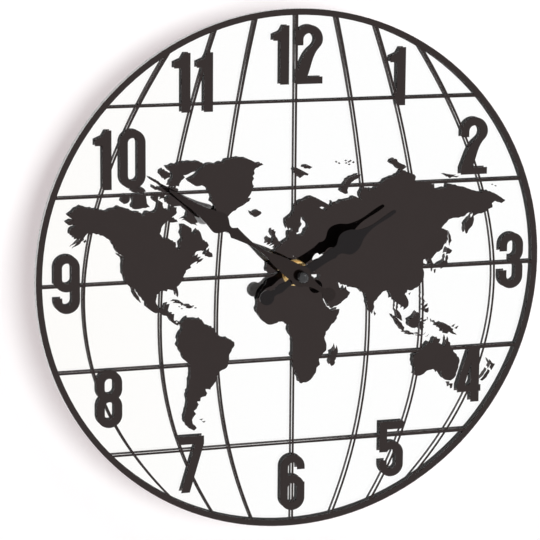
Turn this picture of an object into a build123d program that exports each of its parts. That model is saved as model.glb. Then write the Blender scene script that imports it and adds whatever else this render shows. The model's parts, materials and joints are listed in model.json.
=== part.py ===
"""Round wall clock: a printed mirror disc with a world map, two hands and a quartz movement behind.

X runs to the viewer's right, Z up to 12 o'clock and Y into the wall. The origin lies on the axis
of the hands, in the wall's plane. A depth is measured from the wall towards the viewer.
"""
import os
from math import acos, cos, degrees, hypot, log, pi, radians, sin, sqrt, tan

from build123d import *

# Mirror disc and its ink; the meridians' places are parts of the disc's radius
DISC_RADIUS = 150.0
GLASS_THICKNESS = 4.0
SILVER_THICKNESS = 0.1
PAINT_THICKNESS = 0.1
INK_THICKNESS = 0.15
RIM_WIDTH = 3.5
BAR_WIDTH = 1.25
BAR_FLARE = 1.45
GRATICULE_DROP = 1.2
MERIDIAN_BELLIES = (0.305, 0.525, 0.819)
MERIDIAN_BELLY_DROPS = (0.187, 0.173, 0.053)
MERIDIAN_UPPER_ENDS = (0.156, 0.312, 0.485)
MERIDIAN_LOWER_ENDS = (0.156, 0.31, 0.463)
MERIDIAN_UPPER_POWER = 1.8
MERIDIAN_LOWER_POWER = 2.2
MERIDIAN_STEPS = 5
INK_HOLE_MARGIN = 0.4
SMALLEST_INK = 0.8

# Map: degrees of longitude run evenly, latitude follows the Miller projection
MAP_MARGIN = 18.4
MAP_STRETCH = 1.21
COAST_STEP = 1.64
COAST_ROUGHNESS = 0.4376
COAST_WAVE = (6.58, 3.656)
HUB_LONGITUDE = 13.6
HUB_LATITUDE = 36.2

# Numerals
NUMERAL_HEIGHT = 33.2
NUMERAL_WIDTH = 14.8
NUMERAL_STROKE = 4.7
ONE_WIDTH = 9.4
ONE_STEM = 5.2
TWO_WIDTH = 16.2
DIGIT_SPACE = 3.6
NUMERAL_MARGIN = 5.7
STEEP_INSET = 24.8
STEEP_ANGLE = 61.0
SHALLOW_INSET = 21.9
SHALLOW_ANGLE = 32.0
NUMERAL_LIFT = 0.8
NUMERAL_SHIFT = 0.9
TEN_SHIFT = 6.9
TEN_SPACE = 4.6

# Movement case
CASE_CORNER = 3.0
CASE_WALL = 1.2
FRONT_WALL = 1.6
REAR_WALL = 2.4
BAY_FLOOR = 0.7
LIP_HEIGHT = 1.2
LIP_WIDTH = 1.0
LIP_CLEARANCE = 0.1
CHAMBER_MARGIN = 0.3

# Battery, size AA, and its contacts
BATTERY_RADIUS = 7.1
BATTERY_LENGTH = 49.3
BATTERY_NUB_RADIUS = 2.7
BATTERY_NUB_HEIGHT = 1.0
BATTERY_PLAY = 0.25
CONTACT_THICKNESS = 0.4
CONTACT_WIDTH = 7.0
LEAF_ROOM = 2.5

# Fastening through the disc
BUSHING_RADIUS = 4.0
BUSHING_REACH = 5.6
BUSHING_CLEARANCE = 0.15
HANGER_THICKNESS = 1.0
HANGER_WIDTH = 22.0
HANGER_TAIL = 10.0
HANGER_HOLE_RADIUS = 3.5
HANGER_HOLE_HEIGHT = 36.0
GASKET_THICKNESS = 1.0
GASKET_RADIUS = 10.0
WASHER_RADIUS = 7.6
WASHER_THICKNESS = 0.8
NUT_FLATS = 12.4
NUT_THICKNESS = 2.4
NUT_CHAMFER = 0.5

# Hands and their pipes
RUNNING_CLEARANCE = 0.05
MINUTE_ARBOR_RADIUS = 1.75
MINUTE_STUD_RADIUS = 1.4
MINUTE_STUD_LENGTH = 3.2
PIPE_WALL = 0.8
HAND_THICKNESS = 0.6
HOUR_HAND_HEIGHT = 9.4
MINUTE_HAND_HEIGHT = 11.6
HOUR_HAND_LENGTH = 66.9
MINUTE_HAND_LENGTH = 93.2
HOUR_TAIL = 22.7
MINUTE_TAIL = 20.4
HOUR_HUB_RADIUS = 5.5
MINUTE_HUB_RADIUS = 6.1
HOUR_TAIL_RADIUS = 4.3
MINUTE_TAIL_RADIUS = 3.9
HOUR_REST_ANGLE = 58.8
MINUTE_REST_ANGLE = 304.35
CAP_COLLAR_RADIUS = 2.3
CAP_COLLAR_HEIGHT = 1.4
CAP_BALL_RADIUS = 3.3

# Wheels: teeth, modules and tooth form
CANNON_TEETH, INTERMEDIATE_TEETH = 12, 36
INTERMEDIATE_PINION, HOUR_TEETH = 10, 40
CENTRE_TEETH, THIRD_PINION = 64, 8
THIRD_TEETH, FOURTH_PINION = 60, 8
FOURTH_TEETH, FIFTH_PINION = 60, 10
FIFTH_TEETH, ROTOR_PINION = 50, 10
CANNON_MODULE = 0.55
CENTRE_MODULE = 0.36
THIRD_MODULE = 0.32
FOURTH_MODULE = 0.28
FIFTH_MODULE = 0.25
PRESSURE_ANGLE = radians(28)
ADDENDUM = 0.75
DEDENDUM = 1.0
TOOTH_THINNING = 0.12
WHEEL_THICKNESS = 0.8
INTERMEDIATE_BEARING = 10.0
THIRD_BEARING = 150.0
FOURTH_BEARING = 45.0
FIFTH_BEARING = 10.0
ROTOR_BEARING = 15.0
LAYER_GAP = 0.6
FRONT_GAP = 0.4
PINION_OVERRUN = 0.1
ARBOR_RADIUS = 0.7
PIVOT_RADIUS = 0.45
PIVOT_LENGTH = 0.7
END_SHAKE = 0.15
SETTING_ARBOR_RADIUS = 1.0

# Stepping motor, circuit board and setting knob
MAGNET_RADIUS = 3.0
MAGNET_LENGTH = 2.4
ROTOR_AIR_GAP = 0.4
STATOR_THICKNESS = 1.5
STATOR_MARGIN = 1.0
STATOR_HALF = 6.6
STATOR_ARM = 2.0
COIL_CENTRE = 22.3
COIL_RADIUS = 3.1
COIL_REAR_GAP = 0.4
COIL_TUBE_RADIUS = 2.4
COIL_FLANGE = 0.8
COIL_WINDING_STEP = 0.15
CORE_WIDTH = 3.0
BOARD_SIZE = 13.0
BOARD_INSET = 0.5
BOARD_THICKNESS = 1.0
CHIP_RADIUS = 2.6
CHIP_HEIGHT = 1.0
CRYSTAL_RADIUS = 1.0
CRYSTAL_LENGTH = 6.0
KNOB_RADIUS = 5.2
KNOB_THICKNESS = 1.2
KNOB_CLEARANCE = 0.4
KNOB_SETBACK = 0.2
KNOB_RIDGE_DEPTH = 0.3
KNOB_RIDGES = 24
KNOB_SLOT_LENGTH = 6.0
KNOB_SLOT_WIDTH = 1.2
KNOB_SLOT_DEPTH = 0.4

CLOCK_CENTRE = (0.0, 0.0)


def polar(start, distance, angle):
    """Point at a distance and an angle, counted from the right, from a start point."""
    return (start[0] + distance * cos(radians(angle)), start[1] + distance * sin(radians(angle)))


# Wheel places: every arbor stands one centre distance from the one that drives it
MOTION_DISTANCE = CANNON_MODULE * (CANNON_TEETH + INTERMEDIATE_TEETH) / 2
HOUR_MODULE = 2 * MOTION_DISTANCE / (INTERMEDIATE_PINION + HOUR_TEETH)
CENTRE_TIP = CENTRE_MODULE * (CENTRE_TEETH / 2 + ADDENDUM)
INTERMEDIATE_CENTRE = polar(CLOCK_CENTRE, MOTION_DISTANCE, INTERMEDIATE_BEARING)
THIRD_CENTRE = polar(CLOCK_CENTRE, CENTRE_MODULE * (CENTRE_TEETH + THIRD_PINION) / 2, THIRD_BEARING)
FOURTH_CENTRE = polar(THIRD_CENTRE, THIRD_MODULE * (THIRD_TEETH + FOURTH_PINION) / 2, FOURTH_BEARING)
FIFTH_CENTRE = polar(FOURTH_CENTRE, FOURTH_MODULE * (FOURTH_TEETH + FIFTH_PINION) / 2, FIFTH_BEARING)
ROTOR_CENTRE = polar(FIFTH_CENTRE, FIFTH_MODULE * (FIFTH_TEETH + ROTOR_PINION) / 2, ROTOR_BEARING)
TRAIN_CENTRES = (THIRD_CENTRE, FOURTH_CENTRE, FIFTH_CENTRE, ROTOR_CENTRE)

# Depths of the motor and the six wheel layers, which set the case's depth
COIL_DEPTH = REAR_WALL + COIL_REAR_GAP + COIL_RADIUS
STATOR_END = COIL_DEPTH - STATOR_THICKNESS / 2
STATOR_START = STATOR_END - STATOR_THICKNESS
MAGNET_START = (STATOR_START + STATOR_END - MAGNET_LENGTH) / 2
MAGNET_END = MAGNET_START + MAGNET_LENGTH
LAYER_PITCH = WHEEL_THICKNESS + LAYER_GAP
LAST_LAYER = 5
FRONT_INNER = MAGNET_END + LAYER_GAP + LAST_LAYER * LAYER_PITCH + WHEEL_THICKNESS + FRONT_GAP
CASE_DEPTH = FRONT_INNER + FRONT_WALL


def layer(index):
    """Rear face of a wheel layer, counted rearwards from the case's front wall."""
    return FRONT_INNER - FRONT_GAP - WHEEL_THICKNESS - index * LAYER_PITCH


# Outline of the case: the wheel chamber above, the battery bay below
LIP_ROOM = LIP_CLEARANCE + LIP_WIDTH + CHAMBER_MARGIN
BAY_LENGTH = BATTERY_LENGTH + BATTERY_NUB_HEIGHT + 2 * CONTACT_THICKNESS + LEAF_ROOM
CHAMBER_HALF = max(BAY_LENGTH / 2, COIL_CENTRE + COIL_RADIUS + LIP_ROOM)
CHAMBER_TOP = ROTOR_CENTRE[1] + STATOR_HALF + LIP_ROOM
CHAMBER_BOTTOM = -CENTRE_TIP - LIP_ROOM
BAY_TOP = CHAMBER_BOTTOM - CASE_WALL
BATTERY_HEIGHT = BAY_TOP - BATTERY_PLAY - BATTERY_RADIUS
BAY_BOTTOM = BATTERY_HEIGHT - BATTERY_RADIUS - BATTERY_PLAY
BATTERY_DEPTH = CASE_DEPTH - BAY_FLOOR - BATTERY_PLAY - BATTERY_RADIUS
CASE_TOP = CHAMBER_TOP + CASE_WALL
CASE_BOTTOM = BAY_BOTTOM - CASE_WALL
CASE_WIDTH = 2 * (CHAMBER_HALF + CASE_WALL)
CASE_HEIGHT = CASE_TOP - CASE_BOTTOM
CASE_MIDDLE = (CASE_TOP + CASE_BOTTOM) / 2

# Depths of the disc
HANGER_START = CASE_DEPTH
GASKET_START = HANGER_START + HANGER_THICKNESS
PAINT_START = GASKET_START + GASKET_THICKNESS
SILVER_START = PAINT_START + PAINT_THICKNESS
GLASS_START = SILVER_START + SILVER_THICKNESS
INK_START = GLASS_START + GLASS_THICKNESS
INK_FRONT = INK_START + INK_THICKNESS
HOLE_RADIUS = BUSHING_RADIUS + BUSHING_CLEARANCE


def at(depth):
    """Plane parallel to the wall, facing the viewer, with X to the right and Y up."""
    return Plane(origin=(0, -depth, 0), x_dir=(1, 0, 0), z_dir=(0, -1, 0))


def hand_plane(depth, angle):
    """Plane like at(depth), turned so that its Y points to a clockwise angle from 12 o'clock."""
    turn = radians(angle)
    return Plane(origin=(0, -depth, 0), x_dir=(cos(turn), 0, -sin(turn)), z_dir=(0, -1, 0))


def save(piece, name):
    """Label a finished piece and write it."""
    piece.label = name
    export_step(piece, f"parts/{name}.step")


def rod(radius, centre, start, end, mode=Mode.ADD):
    """Round rod, or with another mode a round bore, between two depths."""
    with BuildSketch(at(start)) as section:
        with Locations(centre):
            Circle(radius)
    extrude(section.sketch, amount=end - start, mode=mode)


def slab(width, height, centre, start, end, mode=Mode.ADD):
    """Rectangular block, or pocket, between two depths."""
    with BuildSketch(at(start)) as section:
        with Locations(centre):
            Rectangle(width, height)
    extrude(section.sketch, amount=end - start, mode=mode)


def ring_disc(radius, hole, start, thickness):
    """Flat round disc with a hole on the clock's axis."""
    with BuildPart() as disc:
        rod(radius, CLOCK_CENTRE, start, start + thickness)
        rod(hole, CLOCK_CENTRE, start, start + thickness, Mode.SUBTRACT)
    return disc.part


os.makedirs("parts", exist_ok=True)


# Mirror: clear glass, silvering and backing paint
save(ring_disc(DISC_RADIUS, HOLE_RADIUS, GLASS_START, GLASS_THICKNESS), "glass_disc")
save(ring_disc(DISC_RADIUS, HOLE_RADIUS, SILVER_START, SILVER_THICKNESS), "silver_layer")
save(ring_disc(DISC_RADIUS, HOLE_RADIUS, PAINT_START, PAINT_THICKNESS), "backing_paint")


# Digits, each drawn about the middle of its own box
HALF_HEIGHT = NUMERAL_HEIGHT / 2
HALF_WIDTH = NUMERAL_WIDTH / 2
COUNTER_WIDTH = NUMERAL_WIDTH - 2 * NUMERAL_STROKE


def upright_slot(width, bottom, top, mode=Mode.ADD):
    """Slot with round ends, standing on its end between two heights."""
    with Locations((0, (bottom + top) / 2)):
        SlotOverall(top - bottom, width, rotation=90, mode=mode)


def bowl(bottom, top):
    """Closed ring of one stroke's width between two heights."""
    with BuildSketch() as shape:
        upright_slot(NUMERAL_WIDTH, bottom, top)
        upright_slot(COUNTER_WIDTH, bottom + NUMERAL_STROKE, top - NUMERAL_STROKE, Mode.SUBTRACT)
    return shape.sketch_local


def block(left, right, bottom, top, mode=Mode.ADD):
    """Upright rectangle between four edges."""
    with Locations(((left + right) / 2, (bottom + top) / 2)):
        Rectangle(right - left, top - bottom, mode=mode)


def digit_zero():
    return bowl(-HALF_HEIGHT, HALF_HEIGHT)


def digit_one():
    stem = ONE_WIDTH / 2 - ONE_STEM
    flag = 0.3 * NUMERAL_HEIGHT
    with BuildSketch() as shape:
        with BuildLine():
            Polyline(
                (ONE_WIDTH / 2, -HALF_HEIGHT), (ONE_WIDTH / 2, HALF_HEIGHT),
                (stem + 0.35 * ONE_STEM, HALF_HEIGHT),
                (stem, HALF_HEIGHT - 0.32 * flag), (-ONE_WIDTH / 2, HALF_HEIGHT - 0.5 * flag),
                (-ONE_WIDTH / 2, HALF_HEIGHT - 0.85 * flag), (stem, HALF_HEIGHT - 0.85 * flag),
                (stem, -HALF_HEIGHT), close=True,
            )
        make_face()
    return shape.sketch_local


def digit_two():
    half = TWO_WIDTH / 2
    crown = HALF_HEIGHT - half
    terminal = crown - 0.1 * NUMERAL_HEIGHT
    base = -HALF_HEIGHT + 0.85 * NUMERAL_STROKE
    inner = half - NUMERAL_STROKE
    with BuildSketch() as shape:
        with BuildLine():
            Line((-half, terminal), (-half, crown))
            ThreePointArc((-half, crown), (0, HALF_HEIGHT), (half, crown))
            Spline((half, crown), (0.62 * half, 0.08 * NUMERAL_HEIGHT), (-0.12 * half, base),
                   tangents=((0, -1), (-0.45, -1)))
            Polyline((-0.12 * half, base), (half, base), (half, -HALF_HEIGHT))
            Polyline((half, -HALF_HEIGHT), (-half, -HALF_HEIGHT), (-half, base))
            Spline((-half, base), (0, 0.1 * NUMERAL_HEIGHT), (inner, crown), tangents=((0.45, 1), (0, 1)))
            ThreePointArc((inner, crown), (0, HALF_HEIGHT - NUMERAL_STROKE), (-inner, crown))
            Polyline((-inner, crown), (-inner, terminal), (-half, terminal))
        make_face()
    return shape.sketch_local


def digit_eight():
    waist = 0.02 * NUMERAL_HEIGHT
    with BuildSketch() as shape:
        add(bowl(waist - NUMERAL_STROKE / 2, HALF_HEIGHT))
        add(bowl(-HALF_HEIGHT, waist + NUMERAL_STROKE / 2))
    return shape.sketch_local


def digit_three():
    mouth = 0.17 * NUMERAL_HEIGHT
    with BuildSketch() as shape:
        add(digit_eight())
        block(-HALF_WIDTH, -COUNTER_WIDTH / 2 + 0.4 * NUMERAL_STROKE, -mouth, mouth, Mode.SUBTRACT)
        block(-HALF_WIDTH, 0, -mouth, -0.55 * NUMERAL_STROKE, Mode.SUBTRACT)
        block(-HALF_WIDTH, 0, 0.65 * NUMERAL_STROKE, mouth, Mode.SUBTRACT)
    return shape.sketch_local


def digit_four():
    stem_left = 0.08 * NUMERAL_WIDTH
    stem_right = stem_left + ONE_STEM
    bar_top = -0.19 * NUMERAL_HEIGHT
    bar_bottom = bar_top - 0.85 * NUMERAL_STROKE
    with BuildSketch() as shape:
        with BuildLine():
            Polyline(
                (stem_right, -HALF_HEIGHT), (stem_right, bar_bottom), (HALF_WIDTH, bar_bottom),
                (HALF_WIDTH, bar_top), (stem_right, bar_top), (stem_right, HALF_HEIGHT), (0, HALF_HEIGHT),
                (-HALF_WIDTH, bar_top), (-HALF_WIDTH, bar_bottom), (stem_left, bar_bottom),
                (stem_left, -HALF_HEIGHT), close=True,
            )
        make_face()
        with BuildLine():
            counter_left = (-0.18 * NUMERAL_WIDTH, bar_top)
            Polyline((stem_left, bar_top), (stem_left, 0.22 * NUMERAL_HEIGHT), counter_left, close=True)
        make_face(mode=Mode.SUBTRACT)
    return shape.sketch_local


def digit_five():
    bowl_top = 0.14 * NUMERAL_HEIGHT
    mouth_top = -0.05 * NUMERAL_HEIGHT
    mouth_bottom = -0.2 * NUMERAL_HEIGHT
    with BuildSketch() as shape:
        add(bowl(-HALF_HEIGHT, bowl_top))
        block(-HALF_WIDTH, -COUNTER_WIDTH / 2, mouth_top, HALF_HEIGHT)
        block(-HALF_WIDTH, HALF_WIDTH, HALF_HEIGHT - NUMERAL_STROKE, HALF_HEIGHT)
        block(-HALF_WIDTH, -COUNTER_WIDTH / 2, mouth_bottom, mouth_top, Mode.SUBTRACT)
    return shape.sketch_local


def digit_six():
    bowl_top = 0.13 * NUMERAL_HEIGHT
    mouth_top = HALF_HEIGHT - 0.27 * NUMERAL_HEIGHT
    with BuildSketch() as shape:
        add(bowl(-HALF_HEIGHT, HALF_HEIGHT))
        block(COUNTER_WIDTH / 2, HALF_WIDTH, 0, mouth_top, Mode.SUBTRACT)
        add(bowl(-HALF_HEIGHT, bowl_top))
    return shape.sketch_local


def digit_seven():
    bar = HALF_HEIGHT - NUMERAL_STROKE
    foot = 0.42 * NUMERAL_WIDTH
    with BuildSketch() as shape:
        with BuildLine():
            Polyline(
                (-HALF_WIDTH, HALF_HEIGHT), (HALF_WIDTH, HALF_HEIGHT), (HALF_WIDTH, bar),
                (ONE_STEM - foot, -HALF_HEIGHT), (-foot, -HALF_HEIGHT),
                (HALF_WIDTH - ONE_STEM, bar), (-HALF_WIDTH, bar), close=True,
            )
        make_face()
    return shape.sketch_local


def digit_nine():
    with BuildSketch() as shape:
        add(digit_six(), rotation=180)
    return shape.sketch_local


DIGITS = {
    "0": digit_zero(), "1": digit_one(), "2": digit_two(), "3": digit_three(), "4": digit_four(),
    "5": digit_five(), "6": digit_six(), "7": digit_seven(), "8": digit_eight(), "9": digit_nine(),
}
DIGIT_WIDTHS = {"1": ONE_WIDTH, "2": TWO_WIDTH}
NUMERAL_TOP = DISC_RADIUS - RIM_WIDTH - NUMERAL_MARGIN - HALF_HEIGHT
NUMERAL_SIDE = DISC_RADIUS - RIM_WIDTH - NUMERAL_MARGIN - HALF_WIDTH
STEEP_X, STEEP_Z = polar(CLOCK_CENTRE, DISC_RADIUS - STEEP_INSET, STEEP_ANGLE)
SHALLOW_X, SHALLOW_Z = polar(CLOCK_CENTRE, DISC_RADIUS - SHALLOW_INSET, SHALLOW_ANGLE)
STEEP_TOP = NUMERAL_LIFT + STEEP_Z
STEEP_BOTTOM = NUMERAL_LIFT - STEEP_Z
SHALLOW_TOP = NUMERAL_LIFT + SHALLOW_Z
SHALLOW_BOTTOM = NUMERAL_LIFT - SHALLOW_Z
NUMERAL_PLACES = {
    "12": (NUMERAL_SHIFT, NUMERAL_TOP), "1": (STEEP_X, STEEP_TOP), "2": (SHALLOW_X, SHALLOW_TOP),
    "3": (NUMERAL_SIDE, 0), "4": (SHALLOW_X, SHALLOW_BOTTOM), "5": (STEEP_X, STEEP_BOTTOM),
    "6": (0, -NUMERAL_TOP), "7": (-STEEP_X, STEEP_BOTTOM), "8": (-SHALLOW_X, SHALLOW_BOTTOM),
    "9": (NUMERAL_SHIFT - NUMERAL_SIDE, 0), "10": (TEN_SHIFT - SHALLOW_X, SHALLOW_TOP),
    "11": (NUMERAL_SHIFT - STEEP_X, STEEP_TOP),
}


def numeral_outline(text, place):
    """Digits of one hour, side by side about a place on the dial."""
    widths = [DIGIT_WIDTHS.get(letter, NUMERAL_WIDTH) for letter in text]
    space = TEN_SPACE if text == "10" else DIGIT_SPACE
    edge = place[0] - (sum(widths) + space * (len(text) - 1)) / 2
    with BuildSketch(at(INK_START)) as shape:
        for letter, width in zip(text, widths):
            with Locations((edge + width / 2, place[1])):
                add(DIGITS[letter])
            edge += width + space
    return shape


NUMERALS = {text: numeral_outline(text, place) for text, place in NUMERAL_PLACES.items()}
for text, outline in NUMERALS.items():
    with BuildPart() as numeral:
        extrude(outline.sketch, amount=INK_THICKNESS)
    save(numeral.part, f"numeral_{text}")


# World map: coasts as longitude and latitude of capes, bays and river mouths, in degrees
NORTH_AMERICA = [
    (-168.0, 65.6), (-164.5, 66.5), (-161.8, 66.3), (-163.6, 67.1), (-166.5, 68.3), (-163.0, 69.5),
    (-160.8, 70.5), (-156.7, 71.4), (-151.5, 70.5), (-144.5, 70.0), (-137.5, 69.0), (-134.3, 69.6),
    (-129.5, 69.9), (-127.6, 70.6), (-124.3, 70.0), (-119.5, 69.3), (-114.3, 68.3), (-109.5, 68.0),
    (-107.9, 66.6), (-105.5, 68.2), (-101.0, 67.8), (-97.5, 68.5), (-96.3, 70.2), (-95.0, 72.0),
    (-92.4, 71.2), (-91.9, 69.5), (-90.2, 68.6), (-87.6, 68.7), (-86.4, 67.3), (-84.5, 69.6),
    (-81.4, 69.4), (-81.3, 67.4), (-84.0, 66.2), (-87.2, 65.2), (-90.5, 63.6), (-93.6, 61.5),
    (-94.8, 59.2), (-92.6, 57.0), (-88.0, 56.5), (-82.4, 55.1), (-82.2, 52.9), (-80.2, 51.2),
    (-78.7, 52.2), (-79.4, 54.6), (-76.8, 56.3), (-78.4, 58.8), (-77.4, 60.3), (-77.9, 62.4),
    (-73.8, 62.3), (-69.8, 61.0), (-69.6, 59.0), (-67.6, 58.3), (-64.6, 60.3), (-61.9, 57.8),
    (-60.4, 55.5), (-57.3, 54.5), (-55.8, 52.8), (-58.9, 51.0), (-60.5, 50.2), (-65.5, 50.2),
    (-69.6, 47.6), (-64.4, 48.9), (-65.0, 47.3), (-63.8, 46.0), (-60.0, 46.5), (-62.0, 45.0),
    (-65.7, 43.6), (-65.0, 45.2), (-67.2, 44.6), (-70.6, 43.1), (-70.0, 41.8), (-73.9, 40.6),
    (-75.3, 38.4), (-76.2, 36.9), (-75.6, 35.3), (-78.2, 33.8), (-81.3, 31.4), (-80.1, 26.9),
    (-80.6, 25.2), (-81.8, 26.2), (-82.8, 28.6), (-84.1, 30.1), (-85.4, 29.7), (-88.5, 30.4),
    (-89.3, 29.1), (-91.6, 29.6), (-94.8, 29.3), (-97.2, 27.5), (-97.8, 22.4), (-96.0, 19.0),
    (-94.3, 18.2), (-91.4, 18.6), (-90.4, 21.0), (-87.0, 21.5), (-88.2, 18.2), (-88.6, 15.9),
    (-83.3, 15.0), (-83.7, 11.2), (-82.0, 9.0), (-79.6, 9.5), (-77.4, 8.6), (-78.3, 7.4),
    (-79.4, 8.9), (-80.4, 7.3), (-83.2, 8.4), (-85.7, 10.0), (-87.6, 12.9), (-92.0, 14.4),
    (-94.5, 16.2), (-98.0, 16.0), (-102.0, 17.9), (-105.6, 20.3), (-105.6, 22.8), (-109.3, 25.9),
    (-112.2, 29.0), (-113.1, 31.2), (-114.8, 31.7), (-112.8, 28.2), (-111.0, 25.3), (-109.5, 23.0),
    (-112.2, 24.9), (-115.0, 27.9), (-115.9, 30.3), (-117.3, 32.9), (-120.6, 34.5), (-122.5, 37.5),
    (-124.3, 40.3), (-124.0, 46.2), (-124.6, 48.3), (-122.5, 47.6), (-123.2, 49.2), (-127.6, 51.2),
    (-130.2, 54.4), (-133.5, 57.2), (-136.6, 58.3), (-139.8, 59.6), (-147.8, 60.9), (-151.8, 59.2),
    (-151.0, 61.0), (-154.2, 59.0), (-158.5, 56.0), (-163.8, 54.5), (-163.0, 55.3), (-160.4, 56.6),
    (-157.3, 58.6), (-161.9, 58.7), (-162.2, 60.0), (-165.2, 60.6), (-164.8, 62.8), (-161.0, 63.8),
    (-161.0, 64.6), (-166.3, 64.6),
]
NORTH_AMERICAN_ISLANDS = [
    [(-59.2, 47.7), (-57.3, 50.7), (-55.6, 51.5), (-55.8, 49.8), (-53.4, 49.0), (-52.8, 46.9),
     (-55.8, 46.9)],
    [(-128.3, 50.7), (-125.2, 50.1), (-123.5, 48.4), (-125.8, 49.0)],
    [(-65.0, 61.8), (-71.6, 63.2), (-74.2, 64.5), (-78.0, 64.4), (-73.6, 65.6), (-72.6, 67.4),
     (-77.0, 69.6), (-84.6, 69.9), (-89.2, 70.9), (-89.8, 72.6), (-86.5, 73.7), (-80.9, 73.7),
     (-76.6, 72.7), (-71.2, 71.3), (-67.2, 69.4), (-61.5, 66.7), (-63.8, 65.0), (-67.6, 65.8),
     (-64.7, 63.2), (-66.5, 62.9)],
    [(-116.4, 69.7), (-112.0, 69.4), (-106.0, 69.6), (-102.6, 69.9), (-104.8, 71.2), (-105.2, 72.6),
     (-105.6, 73.8), (-110.0, 73.8), (-115.0, 73.9), (-116.6, 73.0), (-115.4, 71.6), (-116.8, 70.6)],
    [(-123.0, 71.4), (-120.4, 71.6), (-118.2, 72.8), (-118.6, 74.3), (-121.8, 74.6), (-124.4, 74.0),
     (-125.2, 72.3)],
    [(-100.4, 72.7), (-97.6, 71.4), (-96.0, 72.6), (-96.4, 74.0), (-99.4, 74.0)],
    [(-95.4, 72.4), (-91.6, 72.8), (-90.6, 73.9), (-95.0, 73.9)],
    [(-117.3, 75.4), (-110.0, 74.7), (-105.7, 75.3), (-108.6, 76.6), (-115.6, 76.4)],
    [(-96.3, 75.4), (-92.0, 74.8), (-80.4, 74.7), (-80.2, 75.6), (-88.6, 76.3), (-95.6, 76.4)],
    [(-60.4, 82.5), (-63.6, 83.0), (-70.4, 83.2), (-75.4, 83.2), (-79.6, 83.0), (-81.6, 82.5),
     (-84.0, 82.7), (-87.0, 82.2), (-89.8, 82.2), (-88.8, 81.6), (-85.2, 80.5), (-84.4, 79.2),
     (-86.8, 78.0), (-88.0, 76.6), (-81.9, 76.6), (-79.6, 76.4), (-79.3, 77.2), (-77.6, 78.2),
     (-75.0, 79.0), (-76.2, 79.6), (-67.4, 80.5), (-65.6, 81.2), (-61.8, 82.0)],
    [(-91.6, 81.6), (-94.4, 81.1), (-94.8, 80.2), (-92.6, 79.4), (-91.0, 78.5), (-86.6, 79.2),
     (-86.6, 80.4), (-90.4, 81.0)],
    [(-103.4, 79.5), (-100.6, 79.2), (-96.0, 78.3), (-92.6, 77.2), (-90.6, 76.6), (-93.0, 76.7),
     (-97.0, 77.7), (-101.0, 78.5)],
    [(-100.2, 77.0), (-97.3, 76.5), (-96.0, 75.6), (-98.6, 75.6), (-100.4, 76.2)],
    [(-87.0, 63.7), (-80.6, 63.9), (-84.0, 65.8), (-86.2, 65.4)],
    [(-84.9, 21.9), (-82.6, 23.0), (-79.6, 22.7), (-74.3, 20.2), (-77.7, 19.9), (-78.6, 21.3)],
    [(-74.4, 18.5), (-73.0, 19.8), (-69.9, 19.7), (-68.4, 18.4), (-71.5, 17.8)],
    [(-67.2, 18.4), (-65.6, 18.4), (-65.7, 17.7), (-67.2, 17.7)],
    [(-78.4, 18.5), (-76.3, 18.2), (-77.4, 17.6)],
    [(-154.7, 57.5), (-152.6, 58.3), (-152.4, 57.3), (-154.0, 56.7)],
]
GREENLAND = [
    (-43.9, 59.9), (-48.2, 61.0), (-51.6, 63.8), (-53.8, 67.0), (-50.8, 69.2), (-52.0, 70.0),
    (-54.4, 70.8), (-53.6, 72.0), (-55.0, 73.6), (-56.4, 75.0), (-58.4, 76.0), (-61.6, 76.4),
    (-66.8, 76.3), (-68.8, 76.9), (-71.0, 77.4), (-72.6, 78.2), (-69.2, 78.9), (-65.2, 79.8),
    (-64.2, 80.7), (-60.6, 81.6), (-58.2, 82.2), (-53.8, 82.5), (-50.2, 82.2), (-47.6, 82.7),
    (-44.2, 82.5), (-42.8, 83.3), (-38.0, 83.4), (-32.2, 83.8), (-26.2, 83.5), (-22.4, 82.9),
    (-19.6, 82.5), (-17.4, 81.9), (-13.8, 82.1), (-12.4, 81.6), (-15.2, 81.3), (-18.4, 80.8),
    (-19.8, 80.2), (-19.4, 79.2), (-20.8, 78.5), (-19.8, 77.8), (-21.2, 76.9), (-19.8, 75.4),
    (-21.4, 74.2), (-22.6, 72.8), (-24.6, 71.6), (-22.2, 71.6), (-23.6, 70.4), (-27.6, 69.3),
    (-31.6, 68.4), (-34.4, 67.3), (-38.4, 66.2), (-40.6, 65.0), (-42.6, 61.6),
]
SOUTH_AMERICA = [
    (-77.4, 8.6), (-75.5, 10.6), (-71.7, 12.4), (-71.3, 11.0), (-68.2, 10.9), (-64.0, 10.2),
    (-61.8, 10.6), (-60.0, 8.4), (-57.2, 6.0), (-51.6, 4.4), (-50.0, 1.4), (-48.4, -0.8),
    (-44.4, -2.7), (-40.2, -2.9), (-37.2, -4.8), (-35.1, -5.6), (-34.8, -7.8), (-37.2, -11.4),
    (-39.0, -13.6), (-39.2, -17.8), (-41.0, -21.8), (-44.6, -23.2), (-48.4, -25.8), (-48.8, -28.6),
    (-52.2, -32.4), (-54.4, -34.7), (-58.2, -34.2), (-56.8, -36.6), (-58.0, -38.3), (-62.1, -39.0),
    (-62.4, -40.9), (-65.0, -41.0), (-63.7, -42.7), (-65.4, -44.9), (-67.6, -46.0), (-65.8, -47.6),
    (-69.0, -50.6), (-68.4, -52.6), (-65.2, -54.7), (-67.4, -55.9), (-71.4, -54.6), (-74.6, -52.2),
    (-75.5, -48.6), (-74.2, -45.6), (-73.0, -42.4), (-73.6, -37.4), (-71.6, -32.8), (-71.4, -29.6),
    (-70.3, -23.8), (-70.2, -18.5), (-75.2, -15.4), (-76.4, -13.6), (-79.2, -8.0), (-81.2, -5.6),
    (-79.9, -2.8), (-80.8, -1.8), (-80.0, 0.6), (-77.2, 3.8), (-77.5, 6.6), (-78.3, 7.4),
]
FALKLANDS = [(-61.2, -51.7), (-58.0, -51.5), (-59.4, -52.4)]
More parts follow.
